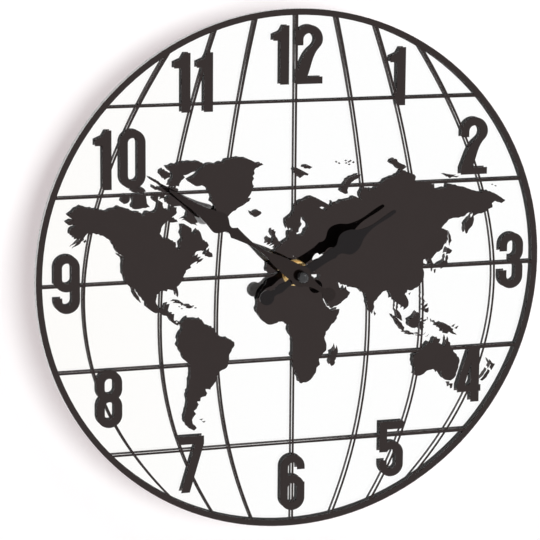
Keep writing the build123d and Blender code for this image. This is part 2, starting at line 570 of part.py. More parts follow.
AFRICA = [
    (-6.0, 35.8), (-2.2, 35.1), (1.6, 36.5), (10.0, 37.3), (11.0, 36.9), (10.2, 34.3), (11.4, 33.1),
    (15.4, 32.2), (19.2, 30.3), (20.2, 32.4), (23.0, 32.6), (25.2, 32.3), (29.0, 32.0),
    (31.0, 32.1), (32.5, 31.2), (32.5, 29.8), (34.0, 26.8), (35.6, 23.9), (37.3, 21.0),
    (37.4, 18.7), (39.6, 15.4), (43.2, 11.6), (44.8, 10.5), (51.2, 11.9), (50.8, 9.6), (48.0, 4.6),
    (43.6, 0.6), (40.2, -2.6), (38.9, -6.4), (40.6, -10.6), (40.6, -15.0), (36.8, -17.8),
    (34.8, -19.9), (35.5, -23.8), (32.7, -25.8), (32.2, -28.6), (29.4, -31.6), (25.8, -33.8),
    (20.0, -34.8), (18.4, -34.0), (18.1, -31.8), (15.2, -27.0), (14.4, -22.4), (11.8, -17.6),
    (13.6, -12.4), (13.2, -8.8), (11.8, -4.6), (9.0, -0.8), (9.6, 2.4), (9.4, 3.9), (6.0, 4.4),
    (4.4, 6.3), (1.0, 5.9), (-2.0, 4.8), (-7.6, 4.4), (-11.4, 6.8), (-13.3, 8.9), (-15.0, 10.9),
    (-16.8, 12.6), (-17.5, 14.7), (-16.4, 16.6), (-16.3, 19.2), (-17.0, 21.2), (-14.6, 26.1),
    (-12.6, 28.0), (-9.8, 29.8), (-9.4, 32.2), (-6.8, 34.1),
]
MADAGASCAR = [
    (49.2, -12.0), (50.4, -15.6), (47.2, -24.6), (45.2, -25.5), (43.4, -22.8), (44.4, -19.6),
    (44.4, -16.4), (47.0, -15.4),
]
EURASIA = [
    (-5.4, 36.1), (-8.9, 37.0), (-9.4, 38.8), (-8.8, 42.0), (-9.2, 43.1), (-1.8, 43.4),
    (-1.2, 46.0), (-4.6, 48.1), (-1.5, 48.7), (-1.7, 49.7), (1.6, 50.9), (4.6, 52.6), (7.2, 53.6),
    (8.6, 54.0), (8.2, 56.6), (8.6, 57.2), (10.2, 57.5), (12.2, 57.4), (12.0, 58.6), (10.6, 59.2),
    (9.2, 58.9), (8.2, 58.1), (7.0, 59.3), (6.2, 61.0), (6.2, 62.6), (8.8, 63.6), (11.0, 64.4),
    (12.8, 66.0), (14.0, 67.4), (16.0, 68.8), (18.8, 69.8), (22.8, 70.4), (25.0, 70.9), (28.4, 71.0),
    (31.0, 70.4), (34.4, 69.6), (37.4, 68.9), (40.2, 68.1), (42.0, 67.3), (43.4, 67.2), (44.2, 68.0),
    (44.0, 68.8), (45.6, 68.9), (46.4, 68.2), (49.6, 68.4), (51.6, 69.2), (54.0, 69.1), (57.8, 69.4),
    (60.0, 69.6), (60.8, 70.2), (63.0, 70.3), (66.0, 69.8), (68.6, 69.0), (67.0, 70.2), (66.8, 71.4),
    (68.4, 72.6), (69.4, 73.4), (72.2, 73.5), (73.2, 72.7), (74.6, 72.2), (76.0, 73.0), (78.8, 72.6),
    (80.6, 73.4), (83.0, 74.3), (86.0, 74.8), (87.2, 75.6), (91.0, 76.1), (95.7, 76.6), (99.0, 77.3),
    (101.0, 78.5), (104.2, 78.3), (106.4, 77.4), (109.4, 77.3), (112.0, 76.9), (113.3, 76.2),
    (112.6, 75.2), (113.8, 74.2), (118.6, 73.9), (123.6, 73.9), (128.8, 73.6), (129.0, 72.2),
    (131.4, 71.6), (135.6, 71.9), (139.4, 71.9), (139.8, 73.0), (141.2, 73.4), (145.0, 72.9),
    (149.6, 72.5), (151.8, 71.8), (158.0, 71.4), (161.8, 70.7), (166.8, 69.9), (169.4, 69.7),
    (170.8, 70.4), (176.0, 70.2), (181.2, 69.0), (185.8, 67.7), (189.6, 66.5), (189.2, 66.0),
    (186.4, 65.2), (183.2, 65.7), (180.8, 66.2), (178.2, 65.3), (178.8, 63.6), (175.6, 63.0),
    (173.4, 62.0), (169.2, 61.2), (165.6, 61.0), (162.9, 60.2), (163.3, 58.5), (162.6, 56.9),
    (160.3, 54.9), (158.0, 52.6), (156.7, 52.0), (155.6, 54.5), (155.5, 56.6), (156.8, 57.8),
    (159.4, 59.4), (162.0, 60.8), (162.2, 62.3), (159.6, 62.1), (157.0, 61.5), (154.0, 60.2),
    (150.2, 59.8), (143.3, 59.5), (141.7, 59.2), (140.0, 58.0), (137.0, 56.4), (135.6, 55.3),
    (138.6, 54.6), (141.2, 54.2), (141.4, 52.8), (140.4, 48.6), (135.6, 44.2),
    (132.2, 43.2), (129.8, 41.4), (127.6, 39.6), (129.4, 36.8), (129.0, 35.2), (126.4, 34.5),
    (126.6, 37.2), (125.0, 39.4), (122.5, 39.8), (120.9, 39.3), (120.9, 37.6), (122.6, 36.9),
    (120.0, 35.0), (121.8, 31.8),
    (121.6, 28.6), (119.4, 25.4), (116.4, 22.9), (110.4, 21.1), (108.0, 21.6), (105.8, 19.0),
    (109.2, 13.6), (109.0, 11.4), (104.8, 8.7), (105.0, 10.4), (102.6, 12.0), (100.8, 13.4),
    (99.4, 9.4), (103.4, 4.6), (104.2, 1.4), (101.2, 2.8), (98.4, 8.2), (98.6, 12.4), (97.4, 16.6),
    (94.4, 16.0), (94.2, 18.4), (91.8, 22.4), (87.2, 21.4), (85.2, 19.6), (82.2, 16.6),
    (80.2, 15.4), (79.8, 10.4), (77.6, 8.1), (76.2, 9.8), (74.8, 13.0), (72.8, 19.4), (72.6, 21.4),
    (70.6, 20.9), (69.0, 22.4), (66.8, 24.8), (61.6, 25.2), (57.2, 25.7), (56.6, 27.1),
    (51.8, 27.4), (50.0, 29.6), (48.6, 29.4), (50.4, 26.8), (51.2, 24.6), (54.2, 24.2),
    (56.3, 26.2), (56.8, 24.2), (59.8, 22.4), (57.6, 18.9), (52.2, 15.6), (45.0, 12.8),
    (43.1, 12.9), (41.2, 16.1), (38.3, 21.6), (35.0, 27.8), (34.9, 29.4), (34.3, 27.9),
    (32.5, 29.8), (32.5, 31.2), (34.2, 31.8), (34.8, 34.4), (34.8, 35.8), (32.4, 35.5),
    (30.6, 35.9), (27.4, 36.1), (26.3, 39.4), (29.0, 40.4), (26.2, 40.7), (23.6, 40.3),
    (22.9, 39.6), (24.0, 37.8), (22.8, 36.6), (21.4, 37.8), (19.4, 40.6), (19.4, 41.9),
    (14.6, 44.8), (13.6, 45.7), (12.3, 45.2), (13.6, 43.5), (16.0, 41.9), (18.4, 40.1),
    (16.8, 40.4), (16.4, 38.0), (15.6, 39.9), (12.2, 41.7), (10.2, 43.8), (8.8, 44.4), (6.4, 43.1),
    (3.2, 43.2), (3.0, 41.8), (-0.3, 39.4), (-0.6, 37.7), (-2.2, 36.8),
]
BALTIC_SEA = [
    (18.2, 62.2), (18.7, 63.4), (20.6, 63.3), (21.6, 61.6), (23.8, 60.6), (24.4, 58.6), (22.0, 57.6),
    (20.8, 55.6), (18.0, 55.2), (14.6, 55.9), (15.0, 56.6), (16.7, 57.0), (16.7, 58.0), (17.4, 59.0),
    (18.8, 59.9), (19.2, 60.6), (18.2, 61.3),
]
WHITE_SEA = [(33.8, 66.9), (35.2, 67.2), (37.6, 66.8), (40.0, 66.2), (38.6, 65.6), (36.2, 65.9)]
BLACK_SEA = [
    (28.0, 42.2), (28.8, 44.4), (30.6, 45.8), (32.4, 46.2), (34.0, 45.2), (35.4, 45.4), (37.2, 46.6),
    (38.0, 45.0), (40.6, 43.4), (41.0, 42.2), (38.6, 41.8), (34.6, 42.4), (31.2, 41.6),
]
EURASIAN_ISLANDS = [
    [(-5.4, 50.1), (-2.2, 50.6), (1.3, 51.2), (1.8, 52.8), (0.2, 53.4), (-0.7, 54.7), (-2.4, 56.4),
     (-2.0, 57.7), (-3.4, 58.0), (-3.2, 58.7), (-5.2, 58.6), (-5.8, 57.0), (-4.6, 55.6), (-3.2, 54.8),
     (-4.4, 53.3), (-4.2, 52.4), (-5.2, 51.8), (-3.0, 51.4)],
    [(-6.0, 52.2), (-9.4, 51.7), (-8.6, 53.0), (-9.4, 54.2), (-7.4, 55.3), (-5.6, 54.5)],
    [(-21.6, 65.4), (-20.4, 64.6), (-18.8, 64.2), (-16.4, 64.6), (-14.2, 65.3), (-13.5, 65.9),
     (-14.6, 66.5), (-16.4, 66.8), (-18.6, 66.5), (-20.0, 66.0), (-22.4, 66.5)],
    [(12.0, 79.8), (13.2, 80.3), (16.6, 80.1), (19.0, 79.6), (21.0, 79.2), (24.4, 78.5), (23.7, 78.0),
     (20.8, 78.2), (18.6, 77.6), (17.2, 77.3), (15.8, 77.8), (13.8, 78.8)],
    [(20.2, 80.2), (20.6, 80.8), (24.6, 80.9), (27.5, 80.4), (25.1, 79.9)],
    [(48.2, 81.2), (49.2, 81.5), (50.4, 81.1), (49.4, 80.9)],
    [(56.0, 81.4), (57.2, 81.7), (58.4, 81.4), (57.0, 81.2)],
    [(56.4, 80.7), (57.6, 81.0), (58.8, 80.7), (57.6, 80.5)],
    [(59.8, 81.2), (61.0, 81.6), (62.2, 81.3), (61.0, 81.0)],
    [(51.0, 72.5), (52.8, 71.8), (54.6, 71.4), (56.9, 71.6), (56.4, 72.8), (57.6, 74.0), (59.6, 75.2),
     (62.2, 76.0), (66.6, 76.8), (67.2, 77.7), (64.0, 77.6), (59.2, 77.0), (56.0, 76.2), (54.4, 75.0),
     (52.8, 74.2)],
    [(91.6, 80.7), (92.6, 81.4), (95.6, 81.8), (97.2, 81.6), (97.8, 81.0), (100.6, 80.3),
     (103.4, 80.0), (105.2, 79.3), (101.6, 78.4), (99.8, 78.5), (96.3, 79.7), (93.4, 80.2)],
    [(137.0, 76.4), (139.4, 76.5), (143.6, 76.1), (149.8, 75.9), (147.6, 75.4), (143.4, 75.6),
     (141.8, 75.2), (139.6, 75.9)],
    [(180.0, 72.0), (181.2, 72.2), (182.0, 71.9), (181.0, 71.7)],
    [(142.0, 54.2), (143.3, 52.0), (144.6, 49.0), (142.6, 46.2), (142.0, 50.0)],
    [(139.9, 41.6), (141.7, 45.4), (145.2, 43.8), (143.2, 42.0)],
    [(130.9, 34.1), (133.0, 35.6), (136.8, 37.3), (139.6, 38.6), (140.2, 41.2), (141.6, 41.3),
     (142.0, 39.4), (140.8, 35.7), (138.6, 34.6), (135.8, 33.5), (135.2, 34.7)],
    [(129.8, 33.4), (131.7, 33.6), (131.2, 31.3), (130.2, 31.2)],
    [(121.6, 25.2), (120.2, 23.6), (120.9, 22.0)],
    [(108.7, 19.2), (110.8, 20.0), (109.6, 18.2)],
    [(80.0, 9.7), (81.8, 7.4), (80.6, 5.9), (79.8, 7.6)],
    [(12.5, 38.0), (15.6, 38.2), (15.2, 36.7)],
    [(8.3, 39.0), (8.8, 42.8), (9.6, 41.0), (9.4, 39.1)],
    [(120.6, 18.5), (122.2, 18.4), (121.7, 15.6), (124.1, 12.8), (120.8, 13.8), (120.0, 16.0)],
    [(122.1, 7.2), (123.6, 8.6), (126.2, 9.4), (126.3, 6.8), (125.3, 5.8)],
    [(122.0, 10.6), (123.4, 11.4), (125.4, 12.2), (125.0, 10.4), (123.2, 9.4)],
]
AUSTRALIA = [
    (113.7, -22.4), (117.0, -20.7), (121.6, -19.0), (122.3, -17.4), (124.6, -16.0), (127.0, -14.0),
    (129.4, -14.9), (130.8, -12.4), (132.6, -11.3), (136.8, -12.2), (135.5, -14.8), (139.4, -17.5),
    (140.9, -17.2), (141.6, -13.2), (142.5, -10.7), (143.8, -14.3), (145.4, -15.2), (146.4, -18.9),
    (149.6, -22.2), (153.0, -25.2), (153.6, -28.6), (152.4, -32.4), (150.0, -37.2), (146.4, -39.1),
    (143.6, -38.8), (140.4, -37.9), (138.4, -35.4), (137.8, -32.9), (135.8, -34.9), (134.0, -32.8),
    (131.0, -31.5), (126.0, -32.2), (123.4, -33.9), (118.0, -35.0), (115.0, -34.3), (115.7, -31.6),
    (113.5, -26.2),
]
OCEANIAN_ISLANDS = [
    [(144.7, -40.8), (148.3, -40.9), (147.6, -43.4), (146.0, -43.6)],
    [(179.0, -27.6), (181.6, -29.8), (184.6, -30.8), (183.0, -32.8), (181.2, -34.8), (180.6, -33.4),
     (179.6, -32.8), (180.8, -31.2)],
    [(178.4, -33.8), (180.2, -34.8), (178.4, -37.2), (176.0, -39.4), (173.6, -40.6), (171.8, -39.8),
     (175.6, -36.6)],
    [(131.0, -0.8), (134.0, -0.8), (135.0, -3.3), (137.8, -1.5), (141.0, -2.6), (145.0, -4.2),
     (147.8, -6.2), (147.2, -7.2), (150.7, -10.4), (147.0, -9.5), (144.0, -7.7), (142.6, -9.2),
     (138.2, -8.3), (138.6, -6.8), (135.4, -4.5), (132.8, -4.0), (133.6, -2.5), (131.4, -1.6)],
    [(148.6, -5.7), (152.2, -4.2), (150.4, -6.4)],
    [(109.0, 1.6), (111.4, 2.6), (113.6, 3.6), (116.8, 6.9), (119.0, 5.2), (117.6, 3.2),
     (118.8, 1.0), (116.4, -3.6), (114.4, -4.0), (110.2, -2.8)],
    [(95.4, 5.6), (97.6, 5.2), (100.4, 2.8), (103.6, 0.0), (106.0, -3.0), (105.7, -5.8),
     (103.6, -4.9), (100.6, -1.6), (98.7, 1.7)],
    [(105.3, -6.7), (108.6, -6.6), (112.6, -6.9), (114.5, -8.6), (110.0, -8.2), (106.4, -7.4)],
    [(115.0, -8.2), (118.8, -8.2), (122.8, -8.2), (119.8, -9.6), (115.8, -9.0)],
    [(123.5, -10.3), (127.0, -8.4), (125.8, -9.9)],
    [(119.6, -5.6), (118.9, -2.8), (119.8, 0.6), (125.0, 1.6), (123.8, 0.3), (120.4, 0.2),
     (121.0, -1.0), (123.3, -0.8), (121.9, -2.0), (122.7, -4.6), (120.8, -2.8), (120.4, -5.6)],
    [(127.6, 1.9), (128.6, 1.4), (128.2, -0.8)],
    [(163.9, -20.0), (167.0, -22.2), (166.0, -22.3)],
]


DEGREE_WIDTH = 2 * (DISC_RADIUS - MAP_MARGIN) / 360
DEGREE_HEIGHT = DEGREE_WIDTH * MAP_STRETCH


def miller(latitude):
    """Height of a latitude above the equator in the Miller projection, in degrees."""
    return degrees(1.25 * log(tan(pi / 4 + 0.4 * radians(latitude))))


def on_dial(longitude, latitude):
    """Place of a point of the map on the dial."""
    height = miller(latitude) - miller(HUB_LATITUDE)
    return ((longitude - HUB_LONGITUDE) * DEGREE_WIDTH, height * DEGREE_HEIGHT)


def coastline(points):
    """Corners of a coast on the dial, with small bays and capes along its longer stretches.

    COAST_STEP, COAST_ROUGHNESS and COAST_WAVE count in degrees of longitude, so the bays scale with the map.
    """
    corners = [on_dial(*point) for point in points]
    line = []
    for (x, z), (far_x, far_z) in zip(corners, corners[1:] + corners[:1]):
        length = hypot(far_x - x, far_z - z)
        stretches = max(1, int(length / (COAST_STEP * DEGREE_WIDTH)))
        line.append((x, z))
        for stretch in range(1, stretches):
            along_x = x + (far_x - x) * stretch / stretches
            along_z = z + (far_z - z) * stretch / stretches
            phase = (COAST_WAVE[0] * along_x + COAST_WAVE[1] * along_z) / DEGREE_WIDTH
            offset = COAST_ROUGHNESS * DEGREE_WIDTH * sin(phase) / length
            line.append((along_x - offset * (far_z - z), along_z + offset * (far_x - x)))
    return line


def land_outline(lands, seas=()):
    """Landmasses less their inland seas, the hub's hole and the numerals that lie over them."""
    with BuildSketch(at(INK_START)) as shape:
        for coast in lands:
            with BuildLine():
                Polyline(*coastline(coast), close=True)
            make_face()
        for shore in seas:
            with BuildLine():
                Polyline(*coastline(shore), close=True)
            make_face(mode=Mode.SUBTRACT)
        Circle(HOLE_RADIUS + INK_HOLE_MARGIN, mode=Mode.SUBTRACT)
        for numeral_shape in NUMERALS.values():
            add(numeral_shape.sketch_local, mode=Mode.SUBTRACT)
    return shape


LANDS = {
    "map_north_america": land_outline([NORTH_AMERICA, *NORTH_AMERICAN_ISLANDS]),
    "map_greenland": land_outline([GREENLAND]),
    "map_south_america": land_outline([SOUTH_AMERICA, FALKLANDS]),
    "map_africa": land_outline([AFRICA, MADAGASCAR]),
    "map_eurasia": land_outline([EURASIA, *EURASIAN_ISLANDS], [BALTIC_SEA, WHITE_SEA, BLACK_SEA]),
    "map_oceania": land_outline([AUSTRALIA, *OCEANIAN_ISLANDS]),
}
for name, outline in LANDS.items():
    with BuildPart() as land:
        extrude(outline.sketch, amount=INK_THICKNESS)
    save(land.part, name)


# Rim band and graticule; the bars stop at every other printed shape
with BuildSketch(at(INK_START)) as rim_outline:
    Circle(DISC_RADIUS)
    Circle(DISC_RADIUS - RIM_WIDTH, mode=Mode.SUBTRACT)
with BuildPart() as rim_band:
    extrude(rim_outline.sketch, amount=INK_THICKNESS)
save(rim_band.part, "rim_band")

RIM_MIDDLE = DISC_RADIUS - RIM_WIDTH / 2
PARALLEL_PITCH = (DISC_RADIUS - GRATICULE_DROP) / 3
PARALLEL_HEIGHTS = [step * PARALLEL_PITCH - GRATICULE_DROP for step in (-2, -1, 0, 1, 2)]


def on_rim(x, side):
    """Point in the middle of the rim band, above or below the clock's centre."""
    return (x, side * sqrt(RIM_MIDDLE**2 - x**2))


def meridian_half(belly, end, power):
    """Points of one half of a meridian, from its belly to its end on the rim."""
    steps = [step / MERIDIAN_STEPS for step in range(MERIDIAN_STEPS + 1)]
    run = end[0] - belly[0]
    rise = end[1] - belly[1]
    return [(belly[0] + run * t**power, belly[1] + rise * t) for t in steps]


def shifted(points, distances):
    """Points of a curve, each moved sideways by its own distance, square to the curve."""
    moved = []
    for index, ((x, y), distance) in enumerate(zip(points, distances)):
        before = points[max(index - 1, 0)]
        after = points[min(index + 1, len(points) - 1)]
        run = after[0] - before[0]
        rise = after[1] - before[1]
        scale = distance / hypot(run, rise)
        moved.append((x - scale * rise, y + scale * run))
    return moved


def meridian_bar(points):
    """Face of a bar along a curve of points that flares at its upper end, added to the sketch being built."""
    flare = [1] * (len(points) - 2) + [(1 + BAR_FLARE) / 2, BAR_FLARE]
    left = shifted(points, [BAR_WIDTH / 2 * wider for wider in flare])
    right = shifted(points, [-BAR_WIDTH / 2 * wider for wider in flare])
    with BuildLine() as edge:
        Spline(*left)
        Line(left[-1], right[-1])
        Spline(*reversed(right))
        Line(right[0], left[0])
    make_face(edge.edges())


def parallel_bar(height):
    """Face of a level bar that widens from the middle to its right end, added to the sketch being built."""
    reach = sqrt(RIM_MIDDLE**2 - height**2)
    half = BAR_WIDTH / 2
    upper = [(-reach, height + half), (0, height + half), (reach, height + half * BAR_FLARE)]
    lower = [(reach, height - half * BAR_FLARE), (0, height - half), (-reach, height - half)]
    with BuildLine() as edge:
        Polyline(*upper, *lower, close=True)
    make_face(edge.edges())


def print_bars(outline):
    """Solid of a bar sketch, without the crumbs that the cuts leave over."""
    with BuildPart() as bars:
        extrude([face for face in outline.sketch.faces() if face.area > SMALLEST_INK], amount=INK_THICKNESS)
    return bars.part


def clear_other_ink():
    """Cut every other printed shape out of the sketch being built."""
    add(rim_outline.sketch_local, mode=Mode.SUBTRACT)
    Circle(HOLE_RADIUS + INK_HOLE_MARGIN, mode=Mode.SUBTRACT)
    for outline in (*NUMERALS.values(), *LANDS.values()):
        add(outline.sketch_local, mode=Mode.SUBTRACT)


with BuildSketch(at(INK_START)) as parallel_bars:
    for height in PARALLEL_HEIGHTS:
        parallel_bar(height)
with BuildSketch(at(INK_START)) as parallel_outline:
    add(parallel_bars.sketch_local)
    clear_other_ink()
save(print_bars(parallel_outline), "parallels")

with BuildSketch(at(INK_START)) as meridian_outline:
    meridian_bar(meridian_half((0, 0), on_rim(0, -1), 1)[:0:-1] + meridian_half((0, 0), on_rim(0, 1), 1))
    meridian_sizes = zip(MERIDIAN_BELLIES, MERIDIAN_BELLY_DROPS, MERIDIAN_UPPER_ENDS, MERIDIAN_LOWER_ENDS)
    for belly, drop, upper_end, lower_end in meridian_sizes:
        belly_place = (belly * DISC_RADIUS, -drop * DISC_RADIUS)
        top_place = on_rim(upper_end * DISC_RADIUS, 1)
        bottom_place = on_rim(lower_end * DISC_RADIUS, -1)
        upper = meridian_half(belly_place, top_place, MERIDIAN_UPPER_POWER)
        lower = meridian_half(belly_place, bottom_place, MERIDIAN_LOWER_POWER)
        curve = lower[:0:-1] + upper
        meridian_bar(curve)
        meridian_bar([(-x, y) for x, y in curve])
    add(parallel_bars.sketch_local, mode=Mode.SUBTRACT)
    clear_other_ink()
save(print_bars(meridian_outline), "meridians")


PIPE_BORE = MINUTE_ARBOR_RADIUS + RUNNING_CLEARANCE
PIPE_RADIUS = PIPE_BORE + PIPE_WALL
BUSHING_BORE = PIPE_RADIUS + RUNNING_CLEARANCE
HOUR_HAND_START = INK_FRONT + HOUR_HAND_HEIGHT
MINUTE_HAND_START = INK_FRONT + MINUTE_HAND_HEIGHT
CAP_START = MINUTE_HAND_START + HAND_THICKNESS
KNOB_START = KNOB_SETBACK
KNOB_END = KNOB_START + KNOB_THICKNESS
RECESS_DEPTH = KNOB_END + KNOB_SETBACK


def involute(angle):
    """Involute function of a pressure angle."""
    return tan(angle) - angle


def gear_points(module, teeth, phase, centre):
    """Outline of a spur gear with one tooth's middle at the phase angle."""
    pitch = module * teeth / 2
    base = pitch * cos(PRESSURE_ANGLE)
    root = pitch - DEDENDUM * module
    tip = pitch + ADDENDUM * module
    half_tooth = (pi / 2 - TOOTH_THINNING) / teeth + involute(PRESSURE_ANGLE)
    flank = []
    for radius in sorted({root, max(root, base), pitch, tip}):
        flank.append((radius, half_tooth - involute(acos(min(1, base / radius)))))
    points = []
    for tooth in range(teeth):
        middle = phase + 2 * pi * tooth / teeth
        rise = [(radius, middle - half) for radius, half in flank]
        fall = [(radius, middle + half) for radius, half in reversed(flank)]
        for radius, angle in rise + fall:
            points.append((centre[0] + radius * cos(angle), centre[1] + radius * sin(angle)))
    return points


def gear(module, teeth, phase, centre, start, end):
    """Toothed disc between two depths, added to the part being built."""
    with BuildSketch(at(start)) as section:
        with BuildLine():
            Polyline(*gear_points(module, teeth, phase, centre), close=True)
        make_face()
    extrude(section.sketch, amount=end - start)


def mate_phase(phase, teeth, mate_teeth, bearing):
    """Phase of a gear that meshes with another one lying behind it on a bearing."""
    ahead = (radians(bearing) - phase) * teeth / (2 * pi)
    return radians(bearing) + pi + (ahead - 0.5) * 2 * pi / mate_teeth


def arbor(centre):
    """Plain arbor with a pivot at both ends, between the case's walls."""
    rod(PIVOT_RADIUS, centre, REAR_WALL - PIVOT_LENGTH, FRONT_INNER + PIVOT_LENGTH)
    rod(ARBOR_RADIUS, centre, REAR_WALL + END_SHAKE, FRONT_INNER - END_SHAKE)


def train_wheel(centre, index, wheel, pinion):
    """Arbor with a wheel in one layer and a pinion in the layer in front of it."""
    wheel_front = layer(index) + WHEEL_THICKNESS
    pinion_front = layer(index - 1) + WHEEL_THICKNESS + PINION_OVERRUN
    with BuildPart() as piece:
        arbor(centre)
        gear(*wheel, centre, layer(index), wheel_front)
        gear(*pinion, centre, wheel_front, pinion_front)
    return piece.part


# Motion work: minute arbor, intermediate wheel and hour wheel
MOTION_FRONT = layer(1) + WHEEL_THICKNESS
SETTING_START = KNOB_START + 2 * KNOB_SLOT_DEPTH

with BuildPart() as minute_arbor:
    rod(PIVOT_RADIUS, CLOCK_CENTRE, REAR_WALL - PIVOT_LENGTH, REAR_WALL + 2 * END_SHAKE)
    rod(MINUTE_ARBOR_RADIUS, CLOCK_CENTRE, REAR_WALL + END_SHAKE, MINUTE_HAND_START)
    rod(MINUTE_STUD_RADIUS, CLOCK_CENTRE, MINUTE_HAND_START, MINUTE_HAND_START + MINUTE_STUD_LENGTH)
    gear(CANNON_MODULE, CANNON_TEETH, 0, CLOCK_CENTRE, layer(1) - PINION_OVERRUN, MOTION_FRONT)
save(minute_arbor.part, "minute_arbor")

with BuildPart() as intermediate_wheel:
    intermediate_phase = mate_phase(0, CANNON_TEETH, INTERMEDIATE_TEETH, INTERMEDIATE_BEARING)
    rod(PIVOT_RADIUS, INTERMEDIATE_CENTRE, FRONT_INNER - 2 * END_SHAKE, FRONT_INNER + PIVOT_LENGTH)
    rod(SETTING_ARBOR_RADIUS, INTERMEDIATE_CENTRE, SETTING_START, FRONT_INNER - END_SHAKE)
    gear(CANNON_MODULE, INTERMEDIATE_TEETH, intermediate_phase, INTERMEDIATE_CENTRE, layer(1), MOTION_FRONT)
    gear(HOUR_MODULE, INTERMEDIATE_PINION, 0, INTERMEDIATE_CENTRE, MOTION_FRONT,
         layer(0) + WHEEL_THICKNESS + PINION_OVERRUN)
save(intermediate_wheel.part, "intermediate_wheel")

with BuildPart() as hour_wheel:
    hour_phase = mate_phase(0, INTERMEDIATE_PINION, HOUR_TEETH, INTERMEDIATE_BEARING + 180)
    gear(HOUR_MODULE, HOUR_TEETH, hour_phase, CLOCK_CENTRE, layer(0), layer(0) + WHEEL_THICKNESS)
    rod(PIPE_RADIUS, CLOCK_CENTRE, layer(0), HOUR_HAND_START + HAND_THICKNESS)
    rod(PIPE_BORE, CLOCK_CENTRE, layer(0), HOUR_HAND_START + HAND_THICKNESS, Mode.SUBTRACT)
save(hour_wheel.part, "hour_wheel")

# Train from the motor to the centre wheel, which grips the minute arbor by friction
with BuildPart() as centre_wheel:
    gear(CENTRE_MODULE, CENTRE_TEETH, 0, CLOCK_CENTRE, layer(2), layer(2) + WHEEL_THICKNESS)
    rod(PIPE_BORE, CLOCK_CENTRE, layer(2), layer(2) + WHEEL_THICKNESS, Mode.SUBTRACT)
save(centre_wheel.part, "centre_wheel")

third_pinion = (CENTRE_MODULE, THIRD_PINION, mate_phase(0, CENTRE_TEETH, THIRD_PINION, THIRD_BEARING))
fourth_pinion = (THIRD_MODULE, FOURTH_PINION, mate_phase(0, THIRD_TEETH, FOURTH_PINION, FOURTH_BEARING))
fifth_pinion = (FOURTH_MODULE, FIFTH_PINION, mate_phase(0, FOURTH_TEETH, FIFTH_PINION, FIFTH_BEARING))
rotor_pinion = (FIFTH_MODULE, ROTOR_PINION, mate_phase(0, FIFTH_TEETH, ROTOR_PINION, ROTOR_BEARING))
save(train_wheel(THIRD_CENTRE, 3, (THIRD_MODULE, THIRD_TEETH, 0), third_pinion), "third_wheel")
save(train_wheel(FOURTH_CENTRE, 4, (FOURTH_MODULE, FOURTH_TEETH, 0), fourth_pinion), "fourth_wheel")
save(train_wheel(FIFTH_CENTRE, 5, (FIFTH_MODULE, FIFTH_TEETH, 0), fifth_pinion), "fifth_wheel")

# Stepping motor
STATOR_HOLE = MAGNET_RADIUS + ROTOR_AIR_GAP
STATOR_LEFT = ROTOR_CENTRE[0] - STATOR_HOLE - STATOR_MARGIN
STATOR_NECK = ROTOR_CENTRE[0] + STATOR_HOLE + STATOR_MARGIN
STATOR_RIGHT = COIL_CENTRE + CORE_WIDTH / 2
COIL_HALF = STATOR_HALF - STATOR_ARM

with BuildPart() as rotor:
    arbor(ROTOR_CENTRE)
    pinion_front = layer(LAST_LAYER) + WHEEL_THICKNESS + PINION_OVERRUN
    gear(*rotor_pinion, ROTOR_CENTRE, layer(LAST_LAYER) - PINION_OVERRUN, pinion_front)
save(rotor.part, "rotor")

with BuildPart() as rotor_magnet:
    rod(MAGNET_RADIUS, ROTOR_CENTRE, MAGNET_START, MAGNET_END)
    rod(ARBOR_RADIUS, ROTOR_CENTRE, MAGNET_START, MAGNET_END, Mode.SUBTRACT)
save(rotor_magnet.part, "rotor_magnet")

with BuildPart() as stator:
    width = STATOR_RIGHT - STATOR_LEFT
    middle = (STATOR_RIGHT + STATOR_LEFT) / 2
    window = STATOR_RIGHT - STATOR_NECK
    window_middle = (STATOR_RIGHT + STATOR_NECK) / 2
    slab(width, 2 * STATOR_HALF, (middle, ROTOR_CENTRE[1]), STATOR_START, STATOR_END)
    slab(window, 2 * COIL_HALF, (window_middle, ROTOR_CENTRE[1]), STATOR_START, STATOR_END, Mode.SUBTRACT)
    rod(STATOR_HOLE, ROTOR_CENTRE, STATOR_START, STATOR_END, Mode.SUBTRACT)
save(stator.part, "stator")

with BuildPart() as coil_core:
    core_front = STATOR_END + STATOR_THICKNESS
    slab(CORE_WIDTH, 2 * STATOR_HALF, (COIL_CENTRE, ROTOR_CENTRE[1]), STATOR_END, core_front)
save(coil_core.part, "coil_core")


def coil_plane(height):
    """Plane across the coil at a height above the rotor's axis, facing up."""
    place = (COIL_CENTRE, -COIL_DEPTH, ROTOR_CENTRE[1] + height)
    return Plane(origin=place, x_dir=(1, 0, 0), z_dir=(0, 0, 1))


with BuildPart() as coil_bobbin:
    with BuildSketch(coil_plane(-COIL_HALF)):
        Circle(COIL_TUBE_RADIUS)
    extrude(amount=2 * COIL_HALF)
    with BuildSketch(coil_plane(-COIL_HALF), coil_plane(COIL_HALF - COIL_FLANGE)):
        Circle(COIL_RADIUS)
    extrude(amount=COIL_FLANGE)
    with BuildSketch(coil_plane(-COIL_HALF)):
        Rectangle(CORE_WIDTH, STATOR_THICKNESS)
    extrude(amount=2 * COIL_HALF, mode=Mode.SUBTRACT)
save(coil_bobbin.part, "coil_bobbin")

with BuildPart() as coil_winding:
    with BuildSketch(coil_plane(COIL_FLANGE - COIL_HALF)):
        Circle(COIL_RADIUS - COIL_WINDING_STEP)
        Circle(COIL_TUBE_RADIUS, mode=Mode.SUBTRACT)
    extrude(amount=2 * (COIL_HALF - COIL_FLANGE))
save(coil_winding.part, "coil_winding")

